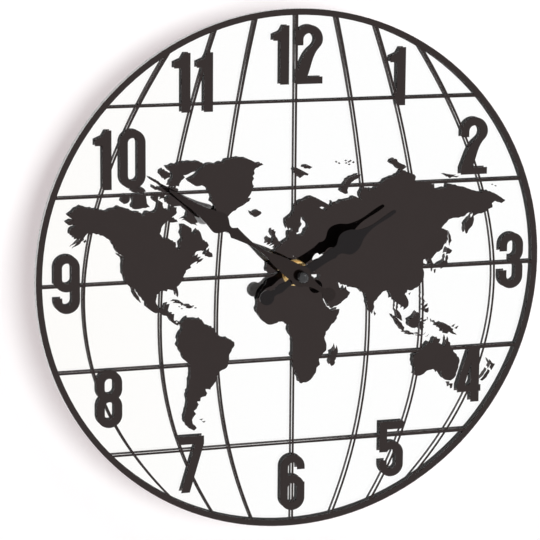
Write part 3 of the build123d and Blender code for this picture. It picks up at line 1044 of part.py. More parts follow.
# Circuit board on the rear cover's lip, with its chip and quartz crystal
BOARD_START = REAR_WALL + LIP_HEIGHT
BOARD_FRONT = BOARD_START + BOARD_THICKNESS
BOARD_X = BOARD_INSET + BOARD_SIZE / 2 - CHAMBER_HALF
BOARD_Z = CHAMBER_BOTTOM + BOARD_INSET + BOARD_SIZE / 2
with BuildPart() as circuit_board:
    slab(BOARD_SIZE, BOARD_SIZE, (BOARD_X, BOARD_Z), BOARD_START, BOARD_FRONT)
save(circuit_board.part, "circuit_board")

with BuildPart() as chip:
    rod(CHIP_RADIUS, (BOARD_X + BOARD_SIZE / 6, BOARD_Z), BOARD_FRONT, BOARD_FRONT + CHIP_HEIGHT)
save(chip.part, "chip")

crystal_place = (BOARD_X - BOARD_SIZE / 3, -BOARD_FRONT - CRYSTAL_RADIUS, BOARD_Z - CRYSTAL_LENGTH / 2)
with BuildPart() as crystal:
    with BuildSketch(Plane(origin=crystal_place, x_dir=(1, 0, 0), z_dir=(0, 0, 1))):
        Circle(CRYSTAL_RADIUS)
    extrude(amount=CRYSTAL_LENGTH)
save(crystal.part, "crystal")

# Case: a front box with a gear chamber and a battery bay, and a rear cover
BAY_MIDDLE = (0, (BAY_TOP + BAY_BOTTOM) / 2)
CHAMBER_MIDDLE = (0, (CHAMBER_TOP + CHAMBER_BOTTOM) / 2)
CHAMBER_WIDTH = 2 * CHAMBER_HALF
CHAMBER_HEIGHT = CHAMBER_TOP - CHAMBER_BOTTOM
BEARING_DEPTH = PIVOT_LENGTH + 2 * END_SHAKE
BEARING_RADIUS = PIVOT_RADIUS + RUNNING_CLEARANCE


def case_block(start, end):
    """Block with the case's rounded outline between two depths."""
    with BuildSketch(at(start)) as section:
        with Locations((0, CASE_MIDDLE)):
            RectangleRounded(CASE_WIDTH, CASE_HEIGHT, CASE_CORNER)
    extrude(section.sketch, amount=end - start)


with BuildPart() as case_front:
    case_block(REAR_WALL, CASE_DEPTH)
    slab(CHAMBER_WIDTH, CHAMBER_HEIGHT, CHAMBER_MIDDLE, REAR_WALL, FRONT_INNER, Mode.SUBTRACT)
    slab(CHAMBER_WIDTH, BAY_TOP - BAY_BOTTOM, BAY_MIDDLE, REAR_WALL, CASE_DEPTH - BAY_FLOOR, Mode.SUBTRACT)
    rod(BUSHING_RADIUS, CLOCK_CENTRE, FRONT_INNER, CASE_DEPTH, Mode.SUBTRACT)
    for place in (*TRAIN_CENTRES, INTERMEDIATE_CENTRE):
        rod(BEARING_RADIUS, place, FRONT_INNER, FRONT_INNER + BEARING_DEPTH, Mode.SUBTRACT)
save(case_front.part, "case_front")

with BuildPart() as case_rear:
    case_block(0, REAR_WALL)
    lip_width = CHAMBER_WIDTH - 2 * LIP_CLEARANCE
    lip_height = CHAMBER_HEIGHT - 2 * LIP_CLEARANCE
    slab(lip_width, lip_height, CHAMBER_MIDDLE, REAR_WALL, REAR_WALL + LIP_HEIGHT)
    slab(lip_width - 2 * LIP_WIDTH, lip_height - 2 * LIP_WIDTH, CHAMBER_MIDDLE, REAR_WALL,
         REAR_WALL + LIP_HEIGHT, Mode.SUBTRACT)
    for height in (STATOR_ARM / 2 - STATOR_HALF, STATOR_HALF - STATOR_ARM / 2):
        slab(CORE_WIDTH, STATOR_ARM, (COIL_CENTRE, ROTOR_CENTRE[1] + height), REAR_WALL, STATOR_START)
    slab(CHAMBER_WIDTH, BAY_TOP - BAY_BOTTOM, BAY_MIDDLE, 0, REAR_WALL, Mode.SUBTRACT)
    for place in (*TRAIN_CENTRES, CLOCK_CENTRE):
        rod(BEARING_RADIUS, place, REAR_WALL - BEARING_DEPTH, REAR_WALL, Mode.SUBTRACT)
    rod(KNOB_RADIUS + KNOB_CLEARANCE, INTERMEDIATE_CENTRE, 0, RECESS_DEPTH, Mode.SUBTRACT)
    rod(SETTING_ARBOR_RADIUS + RUNNING_CLEARANCE, INTERMEDIATE_CENTRE, 0, REAR_WALL, Mode.SUBTRACT)
save(case_rear.part, "case_rear")

# Setting knob, sunk in the rear cover
with BuildPart() as setting_knob:
    ridge_points = []
    for step in range(2 * KNOB_RIDGES):
        radius = KNOB_RADIUS - KNOB_RIDGE_DEPTH * (step % 2)
        ridge_points.append(polar(INTERMEDIATE_CENTRE, radius, 180 * step / KNOB_RIDGES))
    with BuildSketch(at(KNOB_START)):
        with BuildLine():
            Polyline(*ridge_points, close=True)
        make_face()
    extrude(amount=KNOB_THICKNESS)
    rod(SETTING_ARBOR_RADIUS, INTERMEDIATE_CENTRE, SETTING_START, KNOB_END, Mode.SUBTRACT)
    slab(KNOB_SLOT_LENGTH, KNOB_SLOT_WIDTH, INTERMEDIATE_CENTRE, KNOB_START,
         KNOB_START + KNOB_SLOT_DEPTH, Mode.SUBTRACT)
save(setting_knob.part, "setting_knob")

# Battery and contacts: the nub meets the right wall's plate, a folded leaf presses from the left
BATTERY_END = CHAMBER_HALF - CONTACT_THICKNESS - BATTERY_NUB_HEIGHT
BATTERY_BASE = BATTERY_END - BATTERY_LENGTH
CONTACT_START = BATTERY_DEPTH - CONTACT_WIDTH / 2
CONTACT_END = BATTERY_DEPTH + CONTACT_WIDTH / 2


def battery_plane(x):
    """Plane across the battery, facing its nub."""
    return Plane(origin=(x, -BATTERY_DEPTH, BATTERY_HEIGHT), x_dir=(0, 1, 0), z_dir=(1, 0, 0))


with BuildPart() as battery:
    with BuildSketch(battery_plane(BATTERY_BASE)):
        Circle(BATTERY_RADIUS)
    extrude(amount=BATTERY_LENGTH)
    with BuildSketch(battery_plane(BATTERY_END)):
        Circle(BATTERY_NUB_RADIUS)
    extrude(amount=BATTERY_NUB_HEIGHT)
save(battery.part, "battery")

with BuildPart() as contact_positive:
    plate_middle = (CHAMBER_HALF - CONTACT_THICKNESS / 2, BATTERY_HEIGHT)
    slab(CONTACT_THICKNESS, CONTACT_WIDTH, plate_middle, CONTACT_START, CONTACT_END)
save(contact_positive.part, "contact_positive")

with BuildPart() as contact_negative:
    wall = -CHAMBER_HALF
    plate = wall + CONTACT_THICKNESS
    half = CONTACT_WIDTH / 2
    leaf = BATTERY_BASE - CONTACT_THICKNESS
    leaf_points = [
        (wall, half), (wall, -half), (plate, -half), (BATTERY_BASE, -CONTACT_THICKNESS / 2),
        (BATTERY_BASE, CONTACT_THICKNESS / 2), (leaf, half / 2), (leaf - CONTACT_THICKNESS, half / 2),
        (leaf, 0), (plate, CONTACT_THICKNESS - half), (plate, half),
    ]
    with BuildSketch(at(CONTACT_START)):
        with BuildLine():
            Polyline(*[(x, BATTERY_HEIGHT + z) for x, z in leaf_points], close=True)
        make_face()
    extrude(amount=CONTACT_WIDTH)
save(contact_negative.part, "contact_negative")

# Fastening through the disc: hanger, gasket, bushing, washer and nut
with BuildPart() as hanger_plate:
    hanger_height = HANGER_HOLE_HEIGHT + HANGER_TAIL
    hanger_middle = (0, (HANGER_HOLE_HEIGHT - HANGER_TAIL) / 2)
    hole_place = (0, HANGER_HOLE_HEIGHT)
    slab(HANGER_WIDTH, hanger_height, hanger_middle, HANGER_START, GASKET_START)
    rod(HANGER_WIDTH / 2, hole_place, HANGER_START, GASKET_START)
    rod(HANGER_HOLE_RADIUS, hole_place, HANGER_START, GASKET_START, Mode.SUBTRACT)
    rod(HOLE_RADIUS, CLOCK_CENTRE, HANGER_START, GASKET_START, Mode.SUBTRACT)
save(hanger_plate.part, "hanger_plate")

save(ring_disc(GASKET_RADIUS, HOLE_RADIUS, GASKET_START, GASKET_THICKNESS), "gasket")
save(ring_disc(WASHER_RADIUS, BUSHING_RADIUS, INK_FRONT, WASHER_THICKNESS), "washer")
bushing_length = INK_FRONT + BUSHING_REACH - FRONT_INNER
save(ring_disc(BUSHING_RADIUS, BUSHING_BORE, FRONT_INNER, bushing_length), "bushing")

with BuildPart() as nut:
    nut_start = INK_FRONT + WASHER_THICKNESS
    with BuildSketch(at(nut_start)):
        RegularPolygon(NUT_FLATS / 2, 6, major_radius=False)
    extrude(amount=NUT_THICKNESS)
    rim_edges = nut.edges().group_by(Axis.Y)[0]
    chamfer(rim_edges, NUT_CHAMFER)
    rod(BUSHING_RADIUS, CLOCK_CENTRE, nut_start, nut_start + NUT_THICKNESS, Mode.SUBTRACT)
save(nut.part, "nut")

# Hands: half widths against the part of the length at which they stand
HOUR_BLADE = [
    [(0.045, 3.8), (0.125, 2.75), (0.21, 2.5), (0.30, 2.75), (0.346, 3.4)],
    [(0.346, 3.4), (0.38, 2.6), (0.406, 3.0), (0.436, 4.75), (0.471, 6.6), (0.504, 7.05),
     (0.541, 6.7), (0.591, 5.3), (0.632, 3.3), (0.681, 2.0), (0.743, 1.06), (0.87, 1.0),
     (0.985, 0.9)],
]
MINUTE_BLADE = [
    [(0.03, 5.0), (0.09, 4.75), (0.133, 4.1), (0.179, 3.4), (0.223, 2.45), (0.254, 1.72), (0.30, 1.04),
     (0.335, 0.83), (0.376, 1.05), (0.444, 2.05), (0.495, 3.0), (0.512, 3.4)],
    [(0.512, 3.4), (0.525, 2.5), (0.542, 1.65), (0.562, 2.15), (0.58, 3.7), (0.6, 5.35), (0.622, 6.15),
     (0.65, 5.7), (0.685, 4.6), (0.729, 3.6), (0.79, 2.55), (0.905, 1.55), (0.993, 0.35)],
]
HOUR_TAIL_NECK = [(0.15, 4.0), (0.44, 1.85), (0.617, 2.4), (0.75, 1.75), (0.86, 2.2)]
MINUTE_TAIL_NECK = [(0.2, 4.2), (0.52, 1.75), (0.85, 1.75)]


def tapered(sections, length, tip):
    """Face with mirrored sides along the hand, rounded at its far end, added to the sketch being built."""
    sides = [[(half, part * length) for part, half in section] for section in sections]
    end = sides[-1][-1]
    with BuildLine() as edge:
        for side in sides:
            Spline(*side)
            Spline(*[(-x, y) for x, y in side])
        ThreePointArc(end, (0, tip), (-end[0], end[1]))
        Line(sides[0][0], (-sides[0][0][0], sides[0][0][1]))
    make_face(edge.edges())


def hand(start, angle, length, blade, neck, tail, tail_radius, hub_radius, bore):
    """Flat hand with a shaped blade, a hub ring and a round tail."""
    with BuildPart() as piece:
        with BuildSketch(hand_plane(start, angle)) as outline:
            Circle(hub_radius)
            tapered(blade, length, length)
            tapered([neck], -tail, -tail)
            with Locations((0, -tail)):
                Circle(tail_radius)
            Circle(bore, mode=Mode.SUBTRACT)
        extrude(outline.sketch, amount=HAND_THICKNESS)
    return piece.part


save(hand(HOUR_HAND_START, HOUR_REST_ANGLE, HOUR_HAND_LENGTH, HOUR_BLADE, HOUR_TAIL_NECK,
          HOUR_TAIL, HOUR_TAIL_RADIUS, HOUR_HUB_RADIUS, PIPE_RADIUS), "hour_hand")
save(hand(MINUTE_HAND_START, MINUTE_REST_ANGLE, MINUTE_HAND_LENGTH, MINUTE_BLADE, MINUTE_TAIL_NECK,
          MINUTE_TAIL, MINUTE_TAIL_RADIUS, MINUTE_HUB_RADIUS, MINUTE_STUD_RADIUS), "minute_hand")

# Ball-shaped cap nut on the minute arbor's stud
with BuildPart() as cap_nut:
    ball_depth = CAP_START + CAP_COLLAR_HEIGHT + sqrt(CAP_BALL_RADIUS**2 - CAP_COLLAR_RADIUS**2)
    rod(CAP_COLLAR_RADIUS, CLOCK_CENTRE, CAP_START, ball_depth)
    with Locations((0, -ball_depth, 0)):
        Sphere(CAP_BALL_RADIUS)
    rod(MINUTE_STUD_RADIUS, CLOCK_CENTRE, CAP_START, MINUTE_HAND_START + MINUTE_STUD_LENGTH, Mode.SUBTRACT)
save(cap_nut.part, "cap_nut")
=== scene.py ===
import json
import math

import bmesh
import bpy
from mathutils import Matrix, Vector


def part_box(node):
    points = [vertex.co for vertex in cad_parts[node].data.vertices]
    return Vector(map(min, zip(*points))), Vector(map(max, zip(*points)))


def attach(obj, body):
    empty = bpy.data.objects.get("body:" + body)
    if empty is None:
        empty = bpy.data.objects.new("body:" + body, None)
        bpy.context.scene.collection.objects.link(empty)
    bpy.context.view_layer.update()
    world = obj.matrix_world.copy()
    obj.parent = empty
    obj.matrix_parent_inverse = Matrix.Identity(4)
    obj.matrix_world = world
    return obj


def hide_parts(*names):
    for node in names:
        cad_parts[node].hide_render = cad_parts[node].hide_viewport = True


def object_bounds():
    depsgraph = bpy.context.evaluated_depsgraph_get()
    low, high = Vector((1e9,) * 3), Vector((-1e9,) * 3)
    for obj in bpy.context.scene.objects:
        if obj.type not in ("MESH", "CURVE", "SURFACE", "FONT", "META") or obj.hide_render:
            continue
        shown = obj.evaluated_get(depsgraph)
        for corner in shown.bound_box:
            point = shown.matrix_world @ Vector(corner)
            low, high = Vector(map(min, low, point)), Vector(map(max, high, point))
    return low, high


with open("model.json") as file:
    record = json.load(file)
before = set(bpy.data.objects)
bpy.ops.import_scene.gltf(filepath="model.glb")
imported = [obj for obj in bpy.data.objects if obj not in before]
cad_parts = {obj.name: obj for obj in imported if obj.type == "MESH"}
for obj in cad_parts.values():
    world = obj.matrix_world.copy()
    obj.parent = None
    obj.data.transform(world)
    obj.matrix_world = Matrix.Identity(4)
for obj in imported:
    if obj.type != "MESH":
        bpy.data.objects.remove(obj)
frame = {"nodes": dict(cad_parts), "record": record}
cad_low, cad_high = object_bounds()
nodes = frame["nodes"]
scene = bpy.context.scene
scene.view_settings.view_transform = "Standard"

MM = 0.001
BLACK = (0.0, 0.0, 0.0)
WHITE = (1.0, 1.0, 1.0)
FULL_SPAN = (0.0, 1.0)
# Nearly all values of a noise texture lie in the first span, most of them in the second
NOISE_SPAN = (0.3, 0.7)
MOTTLE_SPAN = (0.35, 0.65)


class Surface:
    """A node material that is put together step by step; texture scales are per metre."""

    def __init__(self, name):
        self.name = name
        self.material = bpy.data.materials.new(name)
        self.material.use_nodes = True
        self.tree = self.material.node_tree
        self.shader = self.tree.nodes["Principled BSDF"]
        coordinates = self.node("ShaderNodeTexCoord")
        self.place = coordinates.outputs["Object"]
        self.normal = coordinates.outputs["Normal"]

    def node(self, kind, **values):
        made = self.tree.nodes.new(kind)
        for key, value in values.items():
            setattr(made, key, value)
        return made

    def link(self, source, target):
        self.tree.links.new(source, target)

    def set(self, **values):
        """Constants on the shader's sockets."""
        for key, value in values.items():
            self.shader.inputs[key.replace("_", " ")].default_value = value
        return self

    def stretched(self, scale):
        """Object coordinates with their own scale along each axis."""
        mapping = self.node("ShaderNodeMapping")
        mapping.inputs["Scale"].default_value = scale
        self.link(self.place, mapping.inputs["Vector"])
        return mapping.outputs["Vector"]

    def noise(self, scale, detail=3.0, vector=None):
        texture = self.node("ShaderNodeTexNoise")
        texture.inputs["Scale"].default_value = scale
        texture.inputs["Detail"].default_value = detail
        self.link(vector or self.place, texture.inputs["Vector"])
        return texture.outputs["Fac"]

    def dust(self, scale, size):
        """White on scattered specks and black elsewhere."""
        texture = self.node("ShaderNodeTexVoronoi", feature="F1")
        texture.inputs["Scale"].default_value = scale
        self.link(self.place, texture.inputs["Vector"])
        return self.between(texture.outputs["Distance"], WHITE, BLACK, (0.0, size))

    def part(self, axis, vector=None):
        """One coordinate of the point in metres, or of another vector."""
        split = self.node("ShaderNodeSeparateXYZ")
        self.link(vector or self.place, split.inputs[0])
        return split.outputs[axis]

    def ramp(self, source, stops, interpolation="LINEAR"):
        """Colours along a value: stops are (position, colour)."""
        made = self.node("ShaderNodeValToRGB")
        made.color_ramp.interpolation = interpolation
        elements = made.color_ramp.elements
        while len(elements) < len(stops):
            elements.new(0.5)
        for element, (position, color) in zip(elements, stops):
            element.position = position
            element.color = (*color, 1.0)
        self.link(source, made.inputs["Fac"])
        return made.outputs["Color"]

    def between(self, source, first, second, span=NOISE_SPAN):
        """Colour that runs from the first to the second over a span of values."""
        return self.ramp(source, [(span[0], first), (span[1], second)])

    def reach(self, source, span, new_span):
        """Value moved from one span to another."""
        made = self.node("ShaderNodeMapRange")
        keys = ("From Min", "From Max", "To Min", "To Max")
        for key, value in zip(keys, (*span, *new_span)):
            made.inputs[key].default_value = value
        self.link(source, made.inputs["Value"])
        return made.outputs["Result"]

    def over(self, factor, under, color):
        """A plain colour laid over another one by a factor."""
        made = self.node("ShaderNodeMix", data_type="RGBA")
        self.link(factor, made.inputs["Factor"])
        sockets = {slot.name: slot for slot in made.inputs if slot.type == "RGBA"}
        self.link(under, sockets["A"])
        sockets["B"].default_value = (*color, 1.0)
        return [slot for slot in made.outputs if slot.type == "RGBA"][0]

    def color(self, source):
        self.link(source, self.shader.inputs["Base Color"])

    def rough(self, source, low, high, span=NOISE_SPAN):
        """Roughness that follows a value."""
        self.link(self.reach(source, span, (low, high)), self.shader.inputs["Roughness"])

    def bump(self, height, strength, distance):
        made = self.node("ShaderNodeBump")
        made.inputs["Strength"].default_value = strength
        made.inputs["Distance"].default_value = distance
        self.link(height, made.inputs["Height"])
        self.link(made.outputs["Normal"], self.shader.inputs["Normal"])

    def mottled(self, color, amount, scale):
        """Base colour that wanders a little lighter and darker."""
        dark = tuple(channel * (1 - amount) for channel in color)
        light = tuple(min(1.0, channel * (1 + amount)) for channel in color)
        self.color(self.between(self.noise(scale), dark, light, MOTTLE_SPAN))


def moulded(name, color, roughness, grain=2200.0, depth=0.03):
    """Plastic, rubber or ferrite with a fine moulded grain, its depth in millimetres."""
    made = Surface(name).set(IOR=1.5)
    made.mottled(color, amount=0.1, scale=60.0)
    made.rough(made.noise(scale=140.0), low=roughness - 0.06, high=roughness + 0.08)
    made.bump(made.noise(scale=grain, detail=2.0), strength=0.35, distance=depth * MM)
    return made


def metal(name, color, roughness, scale):
    """Bare or plated metal with fine marks along one direction."""
    made = Surface(name).set(Metallic=1.0)
    made.mottled(color, amount=0.07, scale=180.0)
    marks = made.noise(scale=1.0, vector=made.stretched(scale))
    made.rough(marks, low=roughness - 0.08, high=roughness + 0.1)
    made.bump(marks, strength=0.4, distance=0.01 * MM)
    return made


def bare_share(made):
    """How much metal shows on a hand: only under it, and all at the outer end; near the axis only half, a
    painted shade that darkens the underside there.
    """
    turned_under = (0.4, 0.6)
    # Distance from the axis over which the painted shade near the axis fades out
    painted_shade_fades = (48 * MM, 64 * MM)
    near_and_far = (0.5, 1.0)
    under = made.reach(made.part("Y", made.normal), turned_under, FULL_SPAN)
    distance = made.node("ShaderNodeVectorMath", operation="LENGTH")
    made.link(made.place, distance.inputs[0])
    outer = made.reach(distance.outputs["Value"], painted_shade_fades, near_and_far)
    share = made.node("ShaderNodeMath", operation="MULTIPLY")
    made.link(under, share.inputs[0])
    made.link(outer, share.inputs[1])
    return share.outputs[0]


def lacquered(name, color, ior, tint, roughness):
    """Black lacquer on stamped sheet, with a faint orange peel and dust; bare metal under its outer end, and
    less of it near the axis as painted shade.
    """
    dust_color = (0.05, 0.046, 0.044)
    bare_color = (0.8, 0.8, 0.81)
    bare_roughness = 0.5
    darkening = 0.7
    made = Surface(name).set(IOR=ior, Specular_Tint=(*tint, 1.0))
    dark = tuple(channel * darkening for channel in color)
    plain = made.between(made.noise(scale=160.0), dark, color, MOTTLE_SPAN)
    dusty = made.over(made.dust(scale=700.0, size=0.05), plain, dust_color)
    # Bare metal under the hand, only half of it near the axis as painted shade
    bare = bare_share(made)
    made.color(made.over(bare, dusty, bare_color))
    made.link(bare, made.shader.inputs["Metallic"])
    gloss = made.reach(made.noise(scale=300.0), NOISE_SPAN, (roughness - 0.02, roughness + 0.03))
    both = made.node("ShaderNodeMix", data_type="FLOAT")
    made.link(bare, both.inputs["Factor"])
    made.link(gloss, both.inputs["A"])
    both.inputs["B"].default_value = bare_roughness
    made.link(both.outputs["Result"], made.shader.inputs["Roughness"])
    made.bump(made.noise(scale=1200.0, detail=1.0), strength=0.12, distance=0.004 * MM)
    return made


def polished():
    """Turned cap nut in polished black, with faint rings round its axis."""
    made = Surface("cap_black").set(IOR=1.52)
    made.mottled((0.016, 0.016, 0.018), amount=0.2, scale=400.0)
    rings = made.noise(scale=1.0, detail=2.0, vector=made.stretched((120.0, 2600.0, 120.0)))
    made.rough(rings, low=0.12, high=0.2)
    made.bump(rings, strength=0.1, distance=0.005 * MM)
    return made


def ink():
    """Glossy screen print: near black, with a faint screen grain and a few specks of dust."""
    darkest = (0.001, 0.0008, 0.0008)
    lightest = (0.002, 0.0016, 0.0016)
    dust_color = (0.07, 0.062, 0.06)
    made = Surface("black_ink").set(IOR=1.5, Specular_Tint=(1.0, 0.8, 0.77, 1.0))
    plain = made.between(made.noise(scale=90.0), darkest, lightest)
    made.color(made.over(made.dust(scale=330.0, size=0.055), plain, dust_color))
    made.rough(made.noise(scale=160.0), low=0.02, high=0.045)
    made.bump(made.noise(scale=700.0, detail=2.0), strength=0.08, distance=0.004 * MM)
    return made


def silvering():
    """Silver behind glass with faint clouds, and a painted warm reflection that fades in from one side."""
    reflected_warmth = (0.99, 0.975, 0.95)
    plain = (0.995, 0.995, 0.995)
    cloud_color = (0.985, 0.985, 0.985)
    cloud_most = (0.25, 0.25, 0.25)
    # Share of the width, from the left, over which the painted warm reflection fades
    reflected_warmth_part = (0.0, 0.45)
    made = Surface("silvering").set(Metallic=1.0)
    across = made.reach(made.part("X"), (cad_low.x, cad_high.x), FULL_SPAN)
    # Painted warm reflection on the silver, fading out across the width
    silver = made.between(across, reflected_warmth, plain, reflected_warmth_part)
    cloud = made.between(made.noise(scale=14.0), BLACK, cloud_most)
    made.color(made.over(cloud, silver, cloud_color))
    made.rough(made.noise(scale=40.0), low=0.0, high=0.006)
    return made


def glass(name):
    """What the glass's faces and its edge have in common."""
    faint_green = (0.997, 1.0, 0.998)
    made = Surface(name).set(IOR=1.51, Transmission_Weight=1.0)
    made.color(made.between(made.noise(scale=20.0), faint_green, WHITE))
    return made


def clear_glass():
    """Float glass as it comes from the line."""
    return glass("clear_glass").set(Roughness=0.0)


def ground_edge():
    """Seamed glass edge: finely rough, with a bright sheen."""
    made = glass("ground_edge").set(Coat_Weight=1.0, Coat_IOR=1.8, Coat_Roughness=0.15)
    made.rough(made.noise(scale=900.0), low=0.22, high=0.4)
    made.bump(made.noise(scale=1600.0), strength=0.4, distance=0.02 * MM)
    return made


def battery_jacket():
    """Cell with a plain two-colour jacket and bare ends."""
    steel = (0.62, 0.61, 0.58)
    green = (0.02, 0.075, 0.045)
    gold = (0.6, 0.42, 0.2)
    # Shares of the cell's length where the jacket starts, changes colour and ends
    start, change, end = 0.012, 0.7, 0.955
    low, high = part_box("battery")
    made = Surface("battery_jacket").set(IOR=1.5)
    along = made.reach(made.part("X"), (low.x, high.x), FULL_SPAN)
    jacket = [(0.0, steel), (start, green), (change, gold), (end, steel)]
    made.color(made.ramp(along, jacket, "CONSTANT"))
    bare = made.ramp(along, [(0.0, WHITE), (start, BLACK), (end, WHITE)], "CONSTANT")
    made.link(bare, made.shader.inputs["Metallic"])
    made.rough(made.noise(scale=160.0), low=0.22, high=0.34)
    made.bump(made.noise(scale=60.0, detail=1.0), strength=0.2, distance=0.05 * MM)
    return made


def winding():
    """Layers of fine enamelled wire, turn beside turn."""
    made = Surface("copper_wire").set(Metallic=1.0)
    made.mottled((0.6, 0.26, 0.12), amount=0.12, scale=300.0)
    wave = made.node("ShaderNodeTexWave", wave_type="BANDS", bands_direction="Z")
    wave.inputs["Scale"].default_value = 1600.0
    made.link(made.place, wave.inputs["Vector"])
    turns = wave.outputs["Fac"]
    made.rough(turns, low=0.28, high=0.4, span=FULL_SPAN)
    made.bump(turns, strength=0.6, distance=0.05 * MM)
    return made


def backing():
    """Grey protective paint with the faint curtain marks of its coating line."""
    dark_grey = (0.385, 0.395, 0.405)
    light_grey = (0.42, 0.43, 0.44)
    made = Surface("backing_paint").set(IOR=1.46)
    curtain = made.noise(scale=1.0, detail=2.0, vector=made.stretched((6.0, 6.0, 160.0)))
    made.color(made.between(curtain, dark_grey, light_grey))
    made.rough(made.noise(scale=200.0), low=0.5, high=0.66)
    made.bump(made.noise(scale=900.0, detail=2.0), strength=0.25, distance=0.02 * MM)
    return made


# One surface for each material slot of the record that is not glass
made_surfaces = [
    silvering(),
    backing(),
    ink(),
    lacquered(
        "hour_hand_black", color=(0.001, 0.001, 0.001),
        ior=1.34, tint=(1.0, 0.9, 0.93), roughness=0.07,
    ),
    lacquered(
        "minute_hand_black", color=(0.003, 0.001, 0.0005),
        ior=1.41, tint=(1.0, 0.84, 0.82), roughness=0.08,
    ),
    polished(),
    metal("brass", color=(0.78, 0.56, 0.26), roughness=0.24, scale=(500.0, 30.0, 500.0)),
    metal("zinced_steel", color=(0.6, 0.61, 0.62), roughness=0.36, scale=(60.0, 60.0, 900.0)),
    moulded("black_rubber", color=(0.022, 0.022, 0.022), roughness=0.78, grain=1500.0, depth=0.05),
    moulded("case_plastic", color=(0.02, 0.02, 0.021), roughness=0.46),
    moulded("knob_plastic", color=(0.72, 0.71, 0.67), roughness=0.4, grain=1800.0, depth=0.02),
    battery_jacket(),
    metal("nickelled_steel", color=(0.68, 0.66, 0.61), roughness=0.22, scale=(400.0, 30.0, 60.0)),
    moulded("board_green", color=(0.012, 0.085, 0.035), roughness=0.3, grain=500.0, depth=0.02),
    moulded("chip_black", color=(0.012, 0.012, 0.012), roughness=0.2, grain=300.0, depth=0.05),
    metal("crystal_can", color=(0.7, 0.7, 0.69), roughness=0.18, scale=(40.0, 40.0, 700.0)),
    moulded("bobbin_plastic", color=(0.78, 0.76, 0.69), roughness=0.42),
    winding(),
    metal("motor_steel", color=(0.44, 0.44, 0.45), roughness=0.34, scale=(700.0, 30.0, 50.0)),
    moulded("ferrite", color=(0.06, 0.06, 0.065), roughness=0.6, grain=900.0, depth=0.03),
    moulded("wheel_plastic", color=(0.8, 0.785, 0.73), roughness=0.38, grain=1800.0, depth=0.015),
]
surfaces = {surface.name: surface for surface in made_surfaces}
for entry in frame["record"]["subparts"]:
    surface = surfaces.get(entry["material_slot"])
    if surface:
        mesh = nodes[entry["node"]].data
        mesh.materials.clear()
        mesh.materials.append(surface.material)


def lathe(name, profile, around, steps):
    """Solid of revolution about the clock's axis; profile: (radius, y, surface number of the next face)."""
    shape = bmesh.new()
    turns = [2 * math.pi * step / steps for step in range(steps)]
    rings = []
    for radius, y, _ in profile:
        points = [(radius * math.cos(turn), y, radius * math.sin(turn)) for turn in turns]
        rings.append([shape.verts.new(point) for point in points])
    for number, (_, _, slot) in enumerate(profile):
        first = rings[number]
        second = rings[(number + 1) % len(rings)]
        for step in range(steps):
            follower = (step + 1) % steps
            face = shape.faces.new((first[step], first[follower], second[follower], second[step]))
            face.material_index = slot
    bmesh.ops.recalc_face_normals(shape, faces=shape.faces)
    mesh = bpy.data.meshes.new(name)
    shape.to_mesh(mesh)
    shape.free()
    for surface in around:
        mesh.materials.append(surface.material)
    made = bpy.data.objects.new(name, mesh)
    scene.collection.objects.link(made)
    return made


# Glass with seamed edges; it reaches a little way into the print and the silvering, so no two faces coincide
SEAM = 0.35 * MM
HOLE_RADIUS = 4.15 * MM
INTO_PRINT = 0.02 * MM
INTO_SILVER = 0.05 * MM
GLASS_STEPS = 256
CLEAR, GROUND = 0, 1
glass_low, glass_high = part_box("glass_disc")
outer = glass_high.x
front = glass_low.y - INTO_PRINT
rear = glass_high.y + INTO_SILVER
glass_profile = [
    (HOLE_RADIUS, front, CLEAR),
    (outer - SEAM, front, GROUND),
    (outer, front + SEAM, GROUND),
    (outer, rear - SEAM, GROUND),
    (outer - SEAM, rear, CLEAR),
    (HOLE_RADIUS, rear, GROUND),
]
glass_pane = lathe("glass_pane", glass_profile, [clear_glass(), ground_edge()], GLASS_STEPS)
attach(glass_pane, "clock")
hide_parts("glass_disc")


def plane(name, corners, material):
    mesh = bpy.data.meshes.new(name)
    mesh.from_pydata(corners, [], [(0, 1, 2, 3)])
    mesh.materials.append(material)
    made = bpy.data.objects.new(name, mesh)
    scene.collection.objects.link(made)
    return made


def wall_material():
    """White wall that keeps the clock's shadow and is open from behind."""
    lit_color = (0.62, 0.65, 0.65)
    glow_color = (0.42, 0.35, 0.355)
    material = bpy.data.materials.new("wall_white")
    material.use_nodes = True
    tree = material.node_tree
    tree.nodes.clear()
    output = tree.nodes.new("ShaderNodeOutputMaterial")
    diffuse = tree.nodes.new("ShaderNodeBsdfDiffuse")
    diffuse.inputs["Color"].default_value = (*lit_color, 1.0)
    glow = tree.nodes.new("ShaderNodeEmission")
    glow.inputs["Color"].default_value = (*glow_color, 1.0)
    rays = tree.nodes.new("ShaderNodeLightPath")
    tree.links.new(rays.outputs["Is Camera Ray"], glow.inputs["Strength"])
    lit = tree.nodes.new("ShaderNodeAddShader")
    tree.links.new(diffuse.outputs[0], lit.inputs[0])
    tree.links.new(glow.outputs[0], lit.inputs[1])
    clear = tree.nodes.new("ShaderNodeBsdfTransparent")
    side = tree.nodes.new("ShaderNodeNewGeometry")
    mix = tree.nodes.new("ShaderNodeMixShader")
    tree.links.new(side.outputs["Backfacing"], mix.inputs["Fac"])
    tree.links.new(lit.outputs[0], mix.inputs[1])
    tree.links.new(clear.outputs[0], mix.inputs[2])
    tree.links.new(mix.outputs[0], output.inputs["Surface"])
    return material


def floor_material():
    made = Surface("floor_pale").set(Roughness=0.8)
    made.mottled((0.86, 0.86, 0.855), amount=0.02, scale=3.0)
    return made.material


